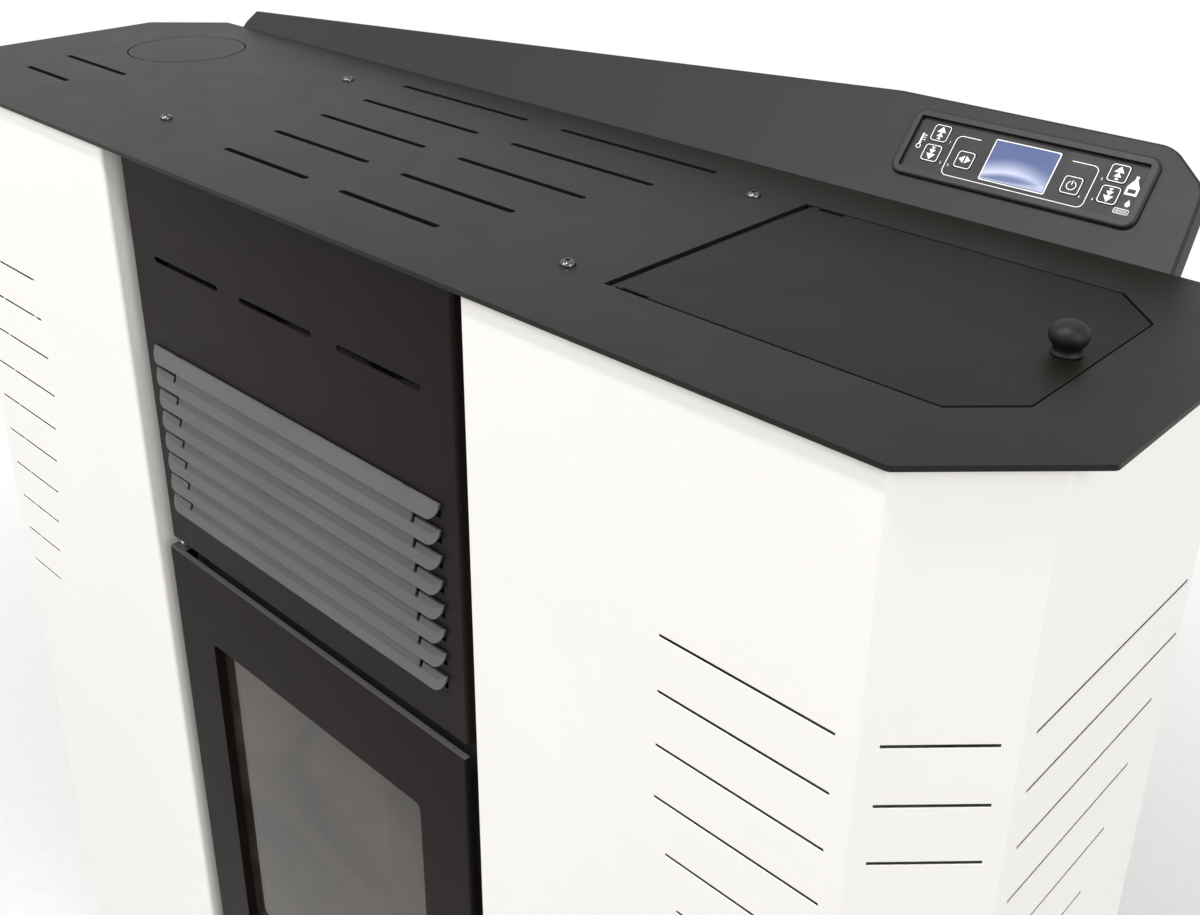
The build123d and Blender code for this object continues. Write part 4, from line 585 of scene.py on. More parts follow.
def textured_paint(name, rgb, rough, specular=0.5, tone=0.08, painted_top_highlight=None):
    """Fine textured powder paint: grain in the surface, faint drifts in tone and sheen.

    Faces that turn upward can be given a paler colour: a painted highlight for the light that
    falls on them from above.
    """
    tree = Tree(name)
    fine = tree.noise(1100.0, 4.0, 0.6)
    drift = tree.remap(tree.noise(7.0, 3.0, 0.55), 0.35, 0.65)
    speck = tree.remap(tree.noise(1870.0, 1.0), 0.58, 0.75, 0.0, 0.35)
    base = tree.blend(drift, shade(rgb, 1.0 - tone), shade(rgb, 1.0 + tone))
    base = tree.blend(speck, base, shade(rgb, 1.5))
    # Painted highlight: upward faces are blended towards a paler colour, as if lit from above.
    if painted_top_highlight:
        base = tree.blend(tree.upward(0.25, 0.75), base, painted_top_highlight)
    sheen = tree.remap(tree.noise(23.0, 4.0, 0.6), 0.3, 0.7, rough - 0.02, rough + 0.02)
    tree.set(color=base, rough=sheen, specular=specular,
             normal=tree.relief(fine, 0.00004, 0.8))


def smooth_paint(name, rgb):
    """Smooth stoved paint with a faint orange peel and a little dust-like drift in tone."""
    tree = Tree(name)
    peel = tree.noise(260.0, 2.0, 0.45)
    drift = tree.remap(tree.noise(4.0, 4.0, 0.6), 0.35, 0.65)
    base = tree.blend(drift, shade(rgb, 0.985), shade(rgb, 1.01))
    sheen = tree.remap(tree.noise(31.0), 0.3, 0.7, 0.35, 0.42)
    tree.set(color=base, rough=sheen, normal=tree.relief(peel, 0.00003, 0.5))


def metallic_paint(name, rgb):
    """Grey paint with fine bright flakes."""
    tree = Tree(name)
    flake = tree.remap(tree.cells(2300.0), 0.0, 0.45, 0.55, 0.0)
    drift = tree.remap(tree.noise(11.0), 0.35, 0.65)
    base = tree.blend(drift, shade(rgb, 0.93), shade(rgb, 1.07))
    base = tree.blend(flake, base, shade(rgb, 1.7))
    sheen = tree.remap(tree.noise(40.0), 0.3, 0.7, 0.38, 0.47)
    grain = tree.relief(tree.noise(1300.0, 3.0, 0.6), 0.00004, 0.7)
    tree.set(color=base, metal=0.08, rough=sheen, specular=0.25, normal=grain)


def zinc_sheet(name):
    """Zinc-plated sheet with soft spangle and rolling marks."""
    tree = Tree(name)
    spangle = tree.cells(95.0, output="Color")
    grey = tree.blend(tree.remap(tree.noise(60.0, 2.0), 0.3, 0.7),
                      (0.46, 0.47, 0.48, 1), (0.55, 0.56, 0.57, 1))
    base = tree.blend(0.04, grey, spangle)
    dull = tree.remap(tree.noise(18.0, 4.0, 0.6), 0.3, 0.7, 0.34, 0.55)
    tree.set(color=base, metal=0.9, rough=dull,
             normal=tree.relief(tree.noise(420.0), 0.00002, 0.5))


def brushed_steel(name):
    """Bright steel with fine lines along one way."""
    tree = Tree(name, stretch=(0.06, 2.0, 2.0))
    lines = tree.noise(900.0, 4.0, 0.65)
    steel = (0.55, 0.55, 0.54)
    base = tree.blend(tree.remap(lines, 0.3, 0.7), shade(steel, 0.88), shade(steel, 1.08))
    tree.set(color=base, metal=1.0, rough=tree.remap(lines, 0.3, 0.7, 0.23, 0.4),
             normal=tree.relief(lines, 0.00001, 0.4))


def polished_steel(name, dark, pale):
    """Plated screw heads and pins, with faint smears between two greys."""
    tree = Tree(name)
    smear = tree.noise(300.0)
    base = tree.blend(tree.remap(smear, 0.3, 0.7), (dark, dark, dark, 1),
                      (pale, pale, pale, 1))
    tree.set(color=base, metal=1.0, rough=tree.remap(smear, 0.3, 0.7, 0.10, 0.22),
             normal=tree.relief(smear, 0.00001, 0.3))


def stove_black(name):
    """Matt high-temperature black with heat bloom and soot."""
    tree = Tree(name)
    bloom = tree.remap(tree.noise(16.0, 5.0, 0.65), 0.35, 0.7, 0.0, 0.8)
    base = tree.blend(bloom, (0.024, 0.024, 0.024, 1), (0.075, 0.068, 0.062, 1))
    grain = tree.relief(tree.noise(700.0, 4.0, 0.6), 0.00006, 0.8)
    tree.set(color=base, rough=tree.remap(bloom, 0.0, 1.0, 0.78, 0.62), normal=grain)


def cast_iron(name):
    """Sand-cast iron: pitted, with greyer high spots."""
    tree = Tree(name)
    sand = tree.noise(520.0, 6.0, 0.7)
    pits = tree.remap(tree.cells(350.0), 0.0, 0.5)
    base = tree.blend(tree.remap(tree.noise(30.0, 5.0, 0.6), 0.35, 0.7),
                      (0.035, 0.033, 0.031, 1), (0.085, 0.078, 0.072, 1))
    rough = tree.relief(tree.sums("ADD", sand, tree.sums("MULTIPLY", pits, 0.4)), 0.0003, 0.7)
    tree.set(color=base, metal=0.35, rough=tree.remap(sand, 0.3, 0.7, 0.55, 0.8),
             normal=rough)


def vermiculite(name):
    """Pressed vermiculite board: buff flakes with glints, browned by the fire."""
    tree = Tree(name)
    flakes = tree.cells(420.0, output="Color")
    flake = tree.remap(tree.add("RGBToBW", {0: flakes}).outputs[0], 0.2, 0.8)
    base = tree.blend(flake, (0.30, 0.24, 0.165, 1), (0.56, 0.47, 0.35, 1))
    burnt = tree.remap(tree.noise(14.0, 4.0), 0.45, 0.75, 0.0, 0.6)
    base = tree.blend(burnt, base, (0.10, 0.08, 0.065, 1))
    tree.set(color=base, rough=tree.remap(flake, 0.0, 1.0, 0.8, 0.6),
             normal=tree.relief(flake, 0.0004, 0.8))


def moulded(name, rgb, rough=0.5, specular=0.5, grain=1500.0):
    """Moulded plastic with a fine spark-eroded grain."""
    tree = Tree(name)
    fine = tree.noise(grain, 3.0, 0.55)
    base = tree.blend(tree.remap(tree.noise(35.0), 0.35, 0.65), shade(rgb, 0.9),
                      shade(rgb, 1.1))
    dull = tree.remap(tree.noise(60.0), 0.3, 0.7, rough - 0.05, rough + 0.06)
    tree.set(color=base, rough=dull, specular=specular,
             normal=tree.relief(fine, 0.00002, 0.7))


def rubber(name):
    """Moulded rubber with a little pale dust."""
    tree = Tree(name)
    mould = tree.noise(900.0, 4.0, 0.6)
    dust = tree.remap(tree.noise(25.0, 4.0), 0.45, 0.75, 0.0, 0.5)
    base = tree.blend(dust, (0.018, 0.018, 0.019, 1), (0.06, 0.058, 0.055, 1))
    tree.set(color=base, rough=tree.remap(mould, 0.3, 0.7, 0.7, 0.9),
             normal=tree.relief(mould, 0.00005, 0.7))


def rope_braid(name):
    """Knitted glass-fibre rope, grey-white, with crossing strands."""
    tree = Tree(name)
    waves = []
    for turn in (0.8, -0.8):
        slanted = tree.add("Mapping", {"Rotation": (turn, turn, turn), "Vector": tree.place})
        waves.append(tree.add("TexWave", {"Scale": 160.0, "Distortion": 0.6,
                                          "Vector": slanted.outputs["Vector"]}).outputs["Fac"])
    strands = tree.sums("MAXIMUM", *waves)
    base = tree.blend(tree.remap(strands, 0.3, 1.0), (0.16, 0.155, 0.145, 1),
                      (0.50, 0.49, 0.46, 1))
    soot = tree.remap(tree.noise(45.0, 4.0), 0.45, 0.75, 0.0, 0.5)
    base = tree.blend(soot, base, (0.06, 0.055, 0.05, 1))
    tree.set(color=base, rough=0.9, normal=tree.relief(strands, 0.0005, 0.9))


def circuit_board(name):
    """Green solder resist with faint copper runs."""
    tree = Tree(name)
    runs = tree.add("TexBrick", {
        "Vector": tree.place, "Scale": 90.0, "Mortar Size": 0.03,
        "Color1": (0.010, 0.060, 0.028, 1), "Color2": (0.014, 0.075, 0.034, 1),
        "Mortar": (0.030, 0.150, 0.060, 1)})
    drift = tree.blend(tree.remap(tree.noise(80.0), 0.3, 0.7, 0.0, 0.4), runs.outputs["Color"],
                       (0.008, 0.045, 0.02, 1))
    tree.set(color=drift, rough=0.35, coat=0.4, coat_rough=0.15,
             normal=tree.relief(runs.outputs["Fac"], 0.00005, 0.5))


def window_glass(name, tint):
    """Heat-resisting glass, a little smoked, with thin haze."""
    tree = Tree(name)
    haze = tree.noise(9.0, 5.0, 0.6, 0.4)
    rough = tree.remap(haze, 0.35, 0.7, 0.02, 0.07)
    base = tree.blend(tree.remap(haze, 0.3, 0.7), shade(tint, 0.8), shade(tint, 1.1))
    film = tree.remap(tree.noise(5.0, 6.0, 0.62, 1.4), 0.36, 0.68, 0.97, 0.74)
    tree.set(color=base, rough=rough, clear=film, ior=1.34,
             normal=tree.relief(tree.noise(6.0, 2.0), 0.0002, 0.15))


def lit_screen(name, tint, sizes):
    """Back-lit display: blue, with a pale painted reflection of glare that arches over its lower
    edge.
    """
    tree = Tree(name, turn=(-sizes.tilt, 0, 0))
    drift = tree.remap(tree.noise(60.0, 2.0, 0.4), 0.3, 0.7)
    base = tree.blend(drift, shade(tint, 0.88), shade(tint, 1.08))
    lines = tree.remap(tree.noise(2500.0, 1.0), 0.3, 0.7, 0.96, 1.04)
    glow = tree.blend(tree.remap(lines, 0.96, 1.04), base, shade(tint, 1.15))
    place = tree.add("SeparateXYZ", {0: tree.place})
    half, foot = sizes.screen_width / 2, sizes.display_up - sizes.screen_height / 2
    foot += REAR * cos(sizes.tilt) + TOP * sin(sizes.tilt)
    along = tree.remap(place.outputs["X"], sizes.display_x - half, sizes.display_x + half,
                       -0.5, 0.5)
    up = tree.remap(place.outputs["Y"], foot, foot + sizes.screen_height)
    # Painted reflection: a pale glare over the lower edge, mixed into the emitted glow.
    arch = tree.sums("MULTIPLY", tree.sums("MULTIPLY", along, along), 0.62)
    over = tree.sums("SUBTRACT", tree.sums("ADD", up, arch), 0.28)
    painted_glare = tree.sums("MULTIPLY", tree.remap(over, 0.0, 0.38, 1.0, 0.0),
                      tree.remap(over, -0.14, 0.0))
    painted_glare = tree.sums("MULTIPLY", tree.sums("POWER", painted_glare, 1.5),
                      tree.remap(along, 0.0, 0.5, 1.0, 0.45))
    glow = tree.blend(painted_glare, glow, (1.45, 1.50, 1.65, 1))
    tree.set(color=base, rough=0.12, glow=glow, glow_strength=0.45, coat=1.0,
             coat_rough=0.03)


def printed(name, rgb):
    """Printed marks, very slightly uneven, with a faint painted glow that makes them brighter than
    the light on them.
    """
    tree = Tree(name)
    drift = tree.remap(tree.noise(900.0), 0.3, 0.7)
    base = tree.blend(drift, shade(rgb, 0.9), shade(rgb, 1.0))
    # Painted light: the marks glow faintly though nothing lights them from within.
    tree.set(color=base, rough=0.5, glow=base, glow_strength=0.12)


def make_finishes(context):
    """Make every finish once."""
    tone = context.scene.stove_finishes
    textured_paint("cover_paint", tone.cover, 0.48, 0.24, tone=0.04)
    textured_paint("lid_paint", tone.cover, 0.48, 0.16, tone=0.04)
    textured_paint("panel_paint", tone.panel, 0.40, 0.07)
    # The door's upward faces get a painted highlight colour.
    textured_paint("door_paint", tone.panel, 0.40, 0.04, painted_top_highlight=(0.062, 0.060, 0.057, 1))
    smooth_paint("casing_paint", tone.casing)
    metallic_paint("grille_paint", tone.grille)
    textured_paint("console_paint", tone.console, 0.50, 0.29)
    textured_paint("base_paint", (0.02, 0.02, 0.02), 0.6)
    zinc_sheet("inner_zinc_sheet")
    stove_black("fire_steel")
    cast_iron("burner_cast_iron")
    vermiculite("vermiculite_board")
    brushed_steel("bright_steel")
    polished_steel("plated_steel", 0.20, 0.28)
    polished_steel("dark_plated_steel", 0.09, 0.14)
    polished_steel("bright_plated_steel", 0.72, 0.80)
    moulded("knob_black", (0.006, 0.006, 0.006), specular=0.25)
    moulded("bezel_black", (0.012, 0.012, 0.012), 0.46, 0.32)
    moulded("key_black", (0.013, 0.013, 0.013), specular=0.3, grain=2200.0)
    lit_screen("display_screen", tone.screen, context.scene.stove_console)
    window_glass("window_glass", tone.window)
    rope_braid("seal_rope")
    rubber("rubber")
    circuit_board("circuit_board")
    zinc_sheet("motor_case")
    moulded("socket_black", (0.018, 0.018, 0.018))
    printed("key_print", tone.print_white)


# ---- Cover ----
def opening_plate(name, sizes, left, right, front, rear, low, high):
    """Plate with its two right corners cut, as the hopper opening and its lid have."""
    plate = block(name, (left, at(front), low), (right, at(rear), high))
    for y in (at(front), at(rear)):
        corner_cut(plate, right, y, sizes.opening_cut)
    return plate


def screw_places(sizes, height):
    """Places of the cover's four screws."""
    return [(x, at(depth), height) for x in (-sizes.screw_x, sizes.screw_x)
            for depth in SCREW_DEPTHS]


class STOVE_OT_cover(Operator):
    """Model the cover plate with its vent slots, pressed ring and lid opening"""
    bl_idname = "stove.cover"
    bl_label = "Cover plate"

    def execute(self, context):
        sizes = context.scene.stove_cover
        plate = block("cover_plate", COVER_LOW, COVER_HIGH)
        for x in (COVER_LOW.x, COVER_HIGH.x):
            corner_cut(plate, x, FRONT, sizes.front_cut)
            corner_cut(plate, x, REAR, sizes.rear_cut)
        round_uprights(plate, 0.004)
        under, over = COVER_LOW.z - MARGIN, TOP + MARGIN
        cut(plate, opening_plate("opening", sizes, sizes.opening_left, sizes.opening_right,
                                 sizes.opening_front, sizes.opening_rear, under, over))
        slots = []
        for row in range(5):
            depth = sizes.slot_middle + (row - 2) * sizes.slot_pitch
            end = sizes.slot_inner + sizes.slot_first + row * sizes.slot_step
            slots += [(*span(side, sizes.slot_inner, end), depth) for side in (1, -1)]
        slots += [(-sizes.ring_x - run / 2, -sizes.ring_x + run / 2, depth)
                  for depth, run in RING_SLOTS]
        half = sizes.slot_width / 2
        boxes = [((x0, at(depth) - half, under), (x1, at(depth) + half, over), 0)
                 for x0, x1, depth in slots]
        cut(plate, round_slots(slot_cutter("cover_slots", boxes), 2, sizes.slot_width))
        x, y, low = -sizes.ring_x, at(sizes.ring_depth), under - MARGIN
        ring = cylinder("ring", (x, y, under), sizes.ring_radius, over - under, sides=128)
        cut(ring, cylinder("core", (x, y, low), sizes.ring_radius - sizes.ring_cut, 0.008,
                           sides=128))
        bridge, past = 0.0015, 0.06
        cut(ring, block("bridges", (x - bridge, y - past, low),
                        (x + bridge, y + past, over + MARGIN), radians(20)))
        cut(plate, ring)
        cut(plate, join("screw_holes", [cylinder("screw_hole", spot, 0.0028, 0.005, sides=24)
                                        for spot in screw_places(sizes, under)]))
        soften(plate, sizes.edge)
        dress(plate, "cover_paint", "cabinet", "top_cover")
        return {"FINISHED"}


class STOVE_OT_cover_screws(Operator):
    """Model one button-head screw with its hexagon socket and copy it to its four places"""
    bl_idname = "stove.cover_screws"
    bl_label = "Cover screws"

    def execute(self, context):
        screw = lathe("cover_screw", [(0.0024, -0.012), (0.0024, 0.0), (0.00475, 0.0),
                                      (0.0047, 0.0007), (0.0043, 0.0015), (0.0036, 0.0022),
                                      (0.0028, 0.0026), (0.0020, 0.00275)], 40)
        cut(screw, cylinder("socket", (0, 0, 0.0011), 0.0017, 0.004, sides=6))
        soften(screw, 0.0001, 1)
        screws = copies(screw, screw_places(context.scene.stove_cover, TOP))
        dress(join("cover_screws", screws), "dark_plated_steel", "cabinet",
              "top_cover_screws")
        return {"FINISHED"}


class STOVE_OT_hopper_lid(Operator):
    """Model the hopper lid with its hinge ears and pins, and its turned knob"""
    bl_idname = "stove.hopper_lid"
    bl_label = "Hopper lid and knob"

    def execute(self, context):
        sizes = context.scene.stove_cover
        left = sizes.opening_left + sizes.hinge_gap
        right = sizes.opening_right - sizes.lid_gap
        front = sizes.opening_front + sizes.lid_gap + 0.0008
        rear = sizes.opening_rear - sizes.lid_gap
        low = COVER_LOW.z
        lid = opening_plate("lid_plate", sizes, left, right, front, rear, low, TOP)
        for depth in (front, rear):
            corner_cut(lid, left, at(depth), 0.003, 4)
        cut(lid, slot_cutter("hinge_notches", [
            ((left + 0.006, at(y0), low - MARGIN), (left + 0.024, at(y1), TOP + MARGIN), 0)
            for y0, y1 in ((front - MARGIN, front + 0.0016), (rear - 0.0036, rear + MARGIN))]))
        soften(lid, sizes.edge)
        x, z = left + 0.0018, TOP - 0.0055
        pieces = [lid]
        for depth, start, run in ((front + 0.001, sizes.opening_front - 0.005, 0.0095),
                                  (rear - 0.0035, rear - 0.0035, 0.0105)):
            ear = block("ear", (x - 0.0022, at(depth), low - 0.005),
                        (x + 0.004, at(depth + 0.0025), low + 0.0002))
            pin = cylinder("pin", (x, at(start), z), 0.0015, run, "Y", 24)
            pieces += [soften(ear, 0.0003), soften(pin, 0.0002)]
        dress(join("lid_plate", pieces), "lid_paint", "lid", "hopper_lid")

        rings = [(0.0081, 0.0), (0.0080, 0.0005), (0.0075, 0.0014), (0.0070, 0.0026),
                 (0.0071, 0.0038), (0.0080, 0.0051), (0.0092, 0.0066), (0.0100, 0.0086),
                 (0.0100, 0.0108), (0.0093, 0.0130), (0.0077, 0.0149), (0.0052, 0.0162),
                 (0.0024, 0.0168), (0.0006, 0.01695)]
        low, high = box_of("lid_knob")
        knob = turned_knob("lid_knob_turned", rings, 32,
                           ((low.x + high.x) / 2, (low.y + high.y) / 2, TOP))
        dress(knob, "knob_black", "lid", "lid_knob")
        return {"FINISHED"}


# ---- Casings ----
class STOVE_OT_casings(Operator):
    """Fold the right casing from sheet, cut its slots, and mirror it for the left"""
    bl_idname = "stove.casings"
    bl_label = "Side casings"

    def execute(self, context):
        sizes = context.scene.stove_casing
        low, high = box_of("right_side_casing")
        rear = high.y - FRONT
        side, inner, setback = sizes.side, sizes.inner, sizes.setback
        path = [(inner, setback + 0.038), (inner, setback), (side - sizes.fold, setback),
                (side, setback + sizes.fold), (side, rear - sizes.rear_fold),
                (side - sizes.rear_fold, rear), (side - sizes.rear_fold - 0.025, rear)]
        casing = folded("right_casing", [(x, at(depth)) for x, depth in path], low.z, high.z,
                        sizes.sheet, sizes.bend)
        boxes = []
        outer = side - sizes.fold - 0.012
        front_run, front_step = 0.107, 0.0093
        side_start, side_end, side_step = at(0.069), 0.240, 0.017
        fold_half, fold_past = (sizes.fold * 2 ** 0.5 - 0.021) / 2, 0.003
        fold_x, fold_y = side - sizes.fold / 2, at(setback + sizes.fold / 2)
        for row in range(sizes.slot_rows):
            z = TOP - sizes.slot_drop - row * sizes.slot_pitch
            z0, z1 = z - sizes.slot_width / 2, z + sizes.slot_width / 2
            run = front_run - max(0, row - 3) * front_step
            end = side_end - max(0, row - 1) * side_step
            boxes += [((outer - run, at(setback) - MARGIN, z0),
                       (outer, at(setback + sizes.sheet) + MARGIN, z1), 0),
                      ((fold_x - fold_half, fold_y - fold_past, z0),
                       (fold_x + fold_half, fold_y + fold_past, z1), radians(45)),
                      ((side - sizes.sheet - MARGIN, side_start, z0),
                       (side + MARGIN, at(end), z1), 0)]
        cut(casing, slot_cutter("casing_slots", boxes))
        turn_out(casing)
        left = copy_of(casing, "left_casing")
        left.scale = (-1, 1, 1)
        turn_out(settle(left))
        for obj, node in ((casing, "right_side_casing"), (left, "left_side_casing")):
            dress(soften(obj, 0.0003), "casing_paint", "cabinet", node)
        return {"FINISHED"}


# ---- Front panels and grille ----
def tray(name, sizes, node):
    """Front panel folded back at both sides, as high as its frame node."""
    back = 0.030
    low, high = box_of(node)
    points = [(-sizes.half, at(back)), (-sizes.half, at(sizes.depth)),
              (sizes.half, at(sizes.depth)), (sizes.half, at(back))]
    return folded(name, points, low.z, high.z, sizes.sheet)


class STOVE_OT_front_panels(Operator):
    """Fold the upper and lower front panels and cut the slots behind the grille"""
    bl_idname = "stove.front_panels"
    bl_label = "Front panels"

    def execute(self, context):
        sizes = context.scene.stove_front
        upper = tray("upper_panel", sizes, "upper_front_panel")
        y0, y1 = at(sizes.depth) - MARGIN, at(sizes.depth + sizes.sheet) + MARGIN
        z, half, rise = TOP - 0.0783, sizes.slot_length / 2, sizes.slot_width / 2
        boxes = [((x - half, y0, z - rise), (x + half, y1, z + rise), 0)
                 for x in (-sizes.slot_pitch, 0.0, sizes.slot_pitch)]
        cut(upper, round_slots(slot_cutter("panel_slots", boxes), 1, sizes.slot_width))
        half = sizes.blade_half - MARGIN
        tops = [GRILLE_TOP - row * sizes.blade_pitch for row in range(sizes.blade_count)]
        boxes = [((-half, y0, top - sizes.blade_height + MARGIN), (half, y1, top - MARGIN), 0)
                 for top in tops]
        cut(upper, slot_cutter("panel_openings", boxes))
        lower = tray("lower_panel", sizes, "lower_front_panel")
        for obj, node in ((upper, "upper_front_panel"), (lower, "lower_front_panel")):
            dress(soften(turn_out(obj), 0.0004), "panel_paint", "cabinet", node)
        return {"FINISHED"}


class STOVE_OT_grille(Operator):
    """Bend one grille blade with its cut-free wings, copy it down and tie the blades"""
    bl_idname = "stove.grille"
    bl_label = "Louvre grille"

    def blade(self, sizes, tied):
        """One blade: a flat root, a soft bend and a lip that stands out.

        A blade tied to the one above keeps its root between the wings, which are cut free.
        """
        flange, notch = 0.0042, 0.134
        front, back, past = at(0.0), at(0.02), 0.002
        half, round_by = sizes.blade_half, sizes.blade_round
        low, root = GRILLE_TOP - sizes.blade_height, GRILLE_TOP + flange / 2
        blade = plane("blade", 2 * half, flange, (0, at(sizes.depth - sizes.sheet), root),
                      (pi / 2, 0, 0))
        edit(blade)
        pick(blade, "EDGE", lambda edge: runs_along(edge, 0) and middle(edge).z < root)
        extrude(0, -sizes.blade_reach, -sizes.blade_height)
        pick(blade, "EDGE", lambda edge: lies_at(edge, 2, GRILLE_TOP))
        bevel(0.0038, 8)
        select_all()
        bpy.ops.mesh.normals_make_consistent(inside=False)
        leave()
        sheet_of(blade, sizes.sheet, 0, -1, 0)
        for side in (-1, 1):
            x0, x1 = span(side, half - round_by, half + past)
            corner = block("corner", (x0, front, low - past), (x1, back, low + round_by))
            curve = (side * (half - round_by), at(-0.01), low + round_by)
            cut(corner, cylinder("curve", curve, round_by, 0.04, "Y", 64))
            cut(blade, corner)
            x0, x1 = span(side, notch if tied else 0, half + past)
            cut(blade, block("wing_top", (x0, front, GRILLE_TOP), (x1, back, GRILLE_TOP + 0.01)))
            if tied:
                x0, x1 = span(side, notch, notch + 0.003)
                cut(blade, block("notch", (x0, front, GRILLE_TOP - 0.0044),
                                 (x1, back, GRILLE_TOP + MARGIN)))
        return soften(turn_out(blade), 0.00025)

    def execute(self, context):
        sizes = context.scene.stove_front
        drops = [(0, 0, -row * sizes.blade_pitch) for row in range(1, sizes.blade_count)]
        blades = [self.blade(sizes, False)] + copies(self.blade(sizes, True), drops)
        for side in (-1, 1):
            x0, x1 = span(side, 0.1255, 0.1335)
            strip = block("strip", (x0, at(0.0088), GRILLE_TOP + drops[-1][2]),
                          (x1, at(0.0099), GRILLE_TOP))
            blades.append(soften(strip, 0.0002))
        dress(join("grille", blades), "grille_paint", "cabinet",
              "louvre_grille")
        return {"FINISHED"}


# ---- Door and drawer ----
class STOVE_OT_door(Operator):
    """Model the door frame with its bevel, window, seal land and hinge bosses, and its seal"""
    bl_idname = "stove.door"
    bl_label = "Door"

    def execute(self, context):
        sizes = context.scene.stove_front
        low, high = box_of("door_frame")
        front, back, past = at(0.0065), at(0.0145), 0.01
        foot, head = low.z + sizes.window_border, high.z - sizes.window_border
        door = block("door_plate", (-sizes.half, front, low.z), (sizes.half, back, high.z))
        bevel_where(door, lambda edge: lies_at(edge, 1, front), sizes.door_bevel, 3)
        window = block("window", (-sizes.window_half, front - past, foot),
                       (sizes.window_half, back + past, head))
        bevel_where(window, lambda edge: runs_along(edge, 1), 0.005, 5)
        cut(door, window)
        cut(door, cylinder("spindle_hole", (0.156, front - 0.002, 0.425), 0.0041, 0.02, "Y", 32))
        lip, over = front + 0.0042, high.z + MARGIN
        cut(door, block("top_rebate", (-0.2, lip, high.z - 0.006), (0.2, back + MARGIN, over)))
        cut(door, block("latch_side_rebate", (sizes.half - 0.005, lip, low.z - MARGIN),
                        (sizes.half + MARGIN, back + MARGIN, over)))
        pieces = [soften(turn_out(door), 0.0006, 3)]
        half, reach, width = 0.1492, 0.022, 0.011
        land = block("seal_land", (-half, back - 0.0005, foot - reach),
                     (half, at(0.021), head + reach))
        cut(land, block("land_hole", (width - half, back - past, foot - reach + width),
                        (half - width, at(0.03), head + reach - width)))
        pieces.append(soften(land, 0.0005))
        rise = 0.020
        for z in (low.z, high.z - rise):
            boss = block("boss", (-0.177, at(0.0095), z), (-0.161, at(0.0212), z + rise))
            cut(boss, cylinder("bore", (-0.169, at(0.0155), z - MARGIN), 0.0032, rise + 0.002,
                               sides=32))
            pieces.append(soften(boss, 0.0005))
        dress(join("door_shell", pieces), "door_paint", "door", "door_frame")

        low, high = box_of("door_seal")
        inset = Vector((0.009, -past, 0.009))
        rope = block("seal_rope", low, high)
        cut(rope, block("rope_hole", low + inset, high - inset))
        soften(turn_out(rope), 0.0027, 5)
        dress(rope, "seal_rope", "door", "door_seal")
        return {"FINISHED"}


class STOVE_OT_latch_knob(Operator):
    """Turn the door's latch knob"""
    bl_idname = "stove.latch_knob"
    bl_label = "Latch knob"

    def execute(self, context):
        low, high = box_of("latch_knob")
        rings = [(0.0082, 0.0), (0.0078, 0.0008), (0.0066, 0.004), (0.0064, 0.0078),
                 (0.0085, 0.0092), (0.0118, 0.0112), (0.0140, 0.0148), (0.0149, 0.0190),
                 (0.0149, 0.0225), (0.0139, 0.0262), (0.0112, 0.0294), (0.0072, 0.0312),
                 (0.0030, 0.0319), (0.0008, 0.03195)]
        scale = (high.y - low.y) / rings[-1][1]
        knob = turned_knob("latch_knob_turned", [(r, z * scale) for r, z in rings], 40,
                           ((low.x + high.x) / 2, high.y, (low.z + high.z) / 2),
                           (pi / 2, 0, 0))
        dress(knob, "knob_black", "latch", "latch_knob")
        return {"FINISHED"}


class STOVE_OT_drawer(Operator):
    """Model the ash drawer's front with its finger grip"""
    bl_idname = "stove.drawer"
    bl_label = "Ash drawer front"

    def execute(self, context):
        low, high = box_of("drawer_front")
        half, deep = 0.040, 0.010
        front = block("drawer_plate", low, high)
        grip = block("grip", (-half, low.y - deep, high.z - deep),
                     (half, high.y + deep, high.z + deep))
        bevel_where(grip, lambda edge: runs_along(edge, 1) and middle(edge).z < high.z, 0.004, 5)
        cut(front, grip)
        soften(front, 0.0009, 3)
        dress(front, "panel_paint", "ash_drawer", "drawer_front")
        return {"FINISHED"}


# ---- Console ----
def opening(name, half_w, half_h, radius=0.0, segments=4, x=0.0, y=0.0):
    """Cutter of an opening about a place on the display, with rounded corners."""
    deep = 0.01
    hole = block(name, (x - half_w, y - half_h, -deep), (x + half_w, y + half_h, deep))
    if radius:
        round_uprights(hole, radius, 90.0, segments)
    return hole


def on_console(obj, sizes, x, up, out):
    """Put a shape made about the origin on the console: X along it, Y up it, Z out of it."""
    along = Vector((1, 0, 0))
    rise = Vector((0, cos(sizes.tilt), sin(sizes.tilt)))
    proud = Vector((0, -sin(sizes.tilt), cos(sizes.tilt)))
    matrix = Matrix([along, rise, proud]).transposed().to_4x4()
    matrix.translation = Vector((0, REAR, TOP)) + along * x + rise * up + proud * out
    obj.matrix_world = matrix
    return settle(obj)


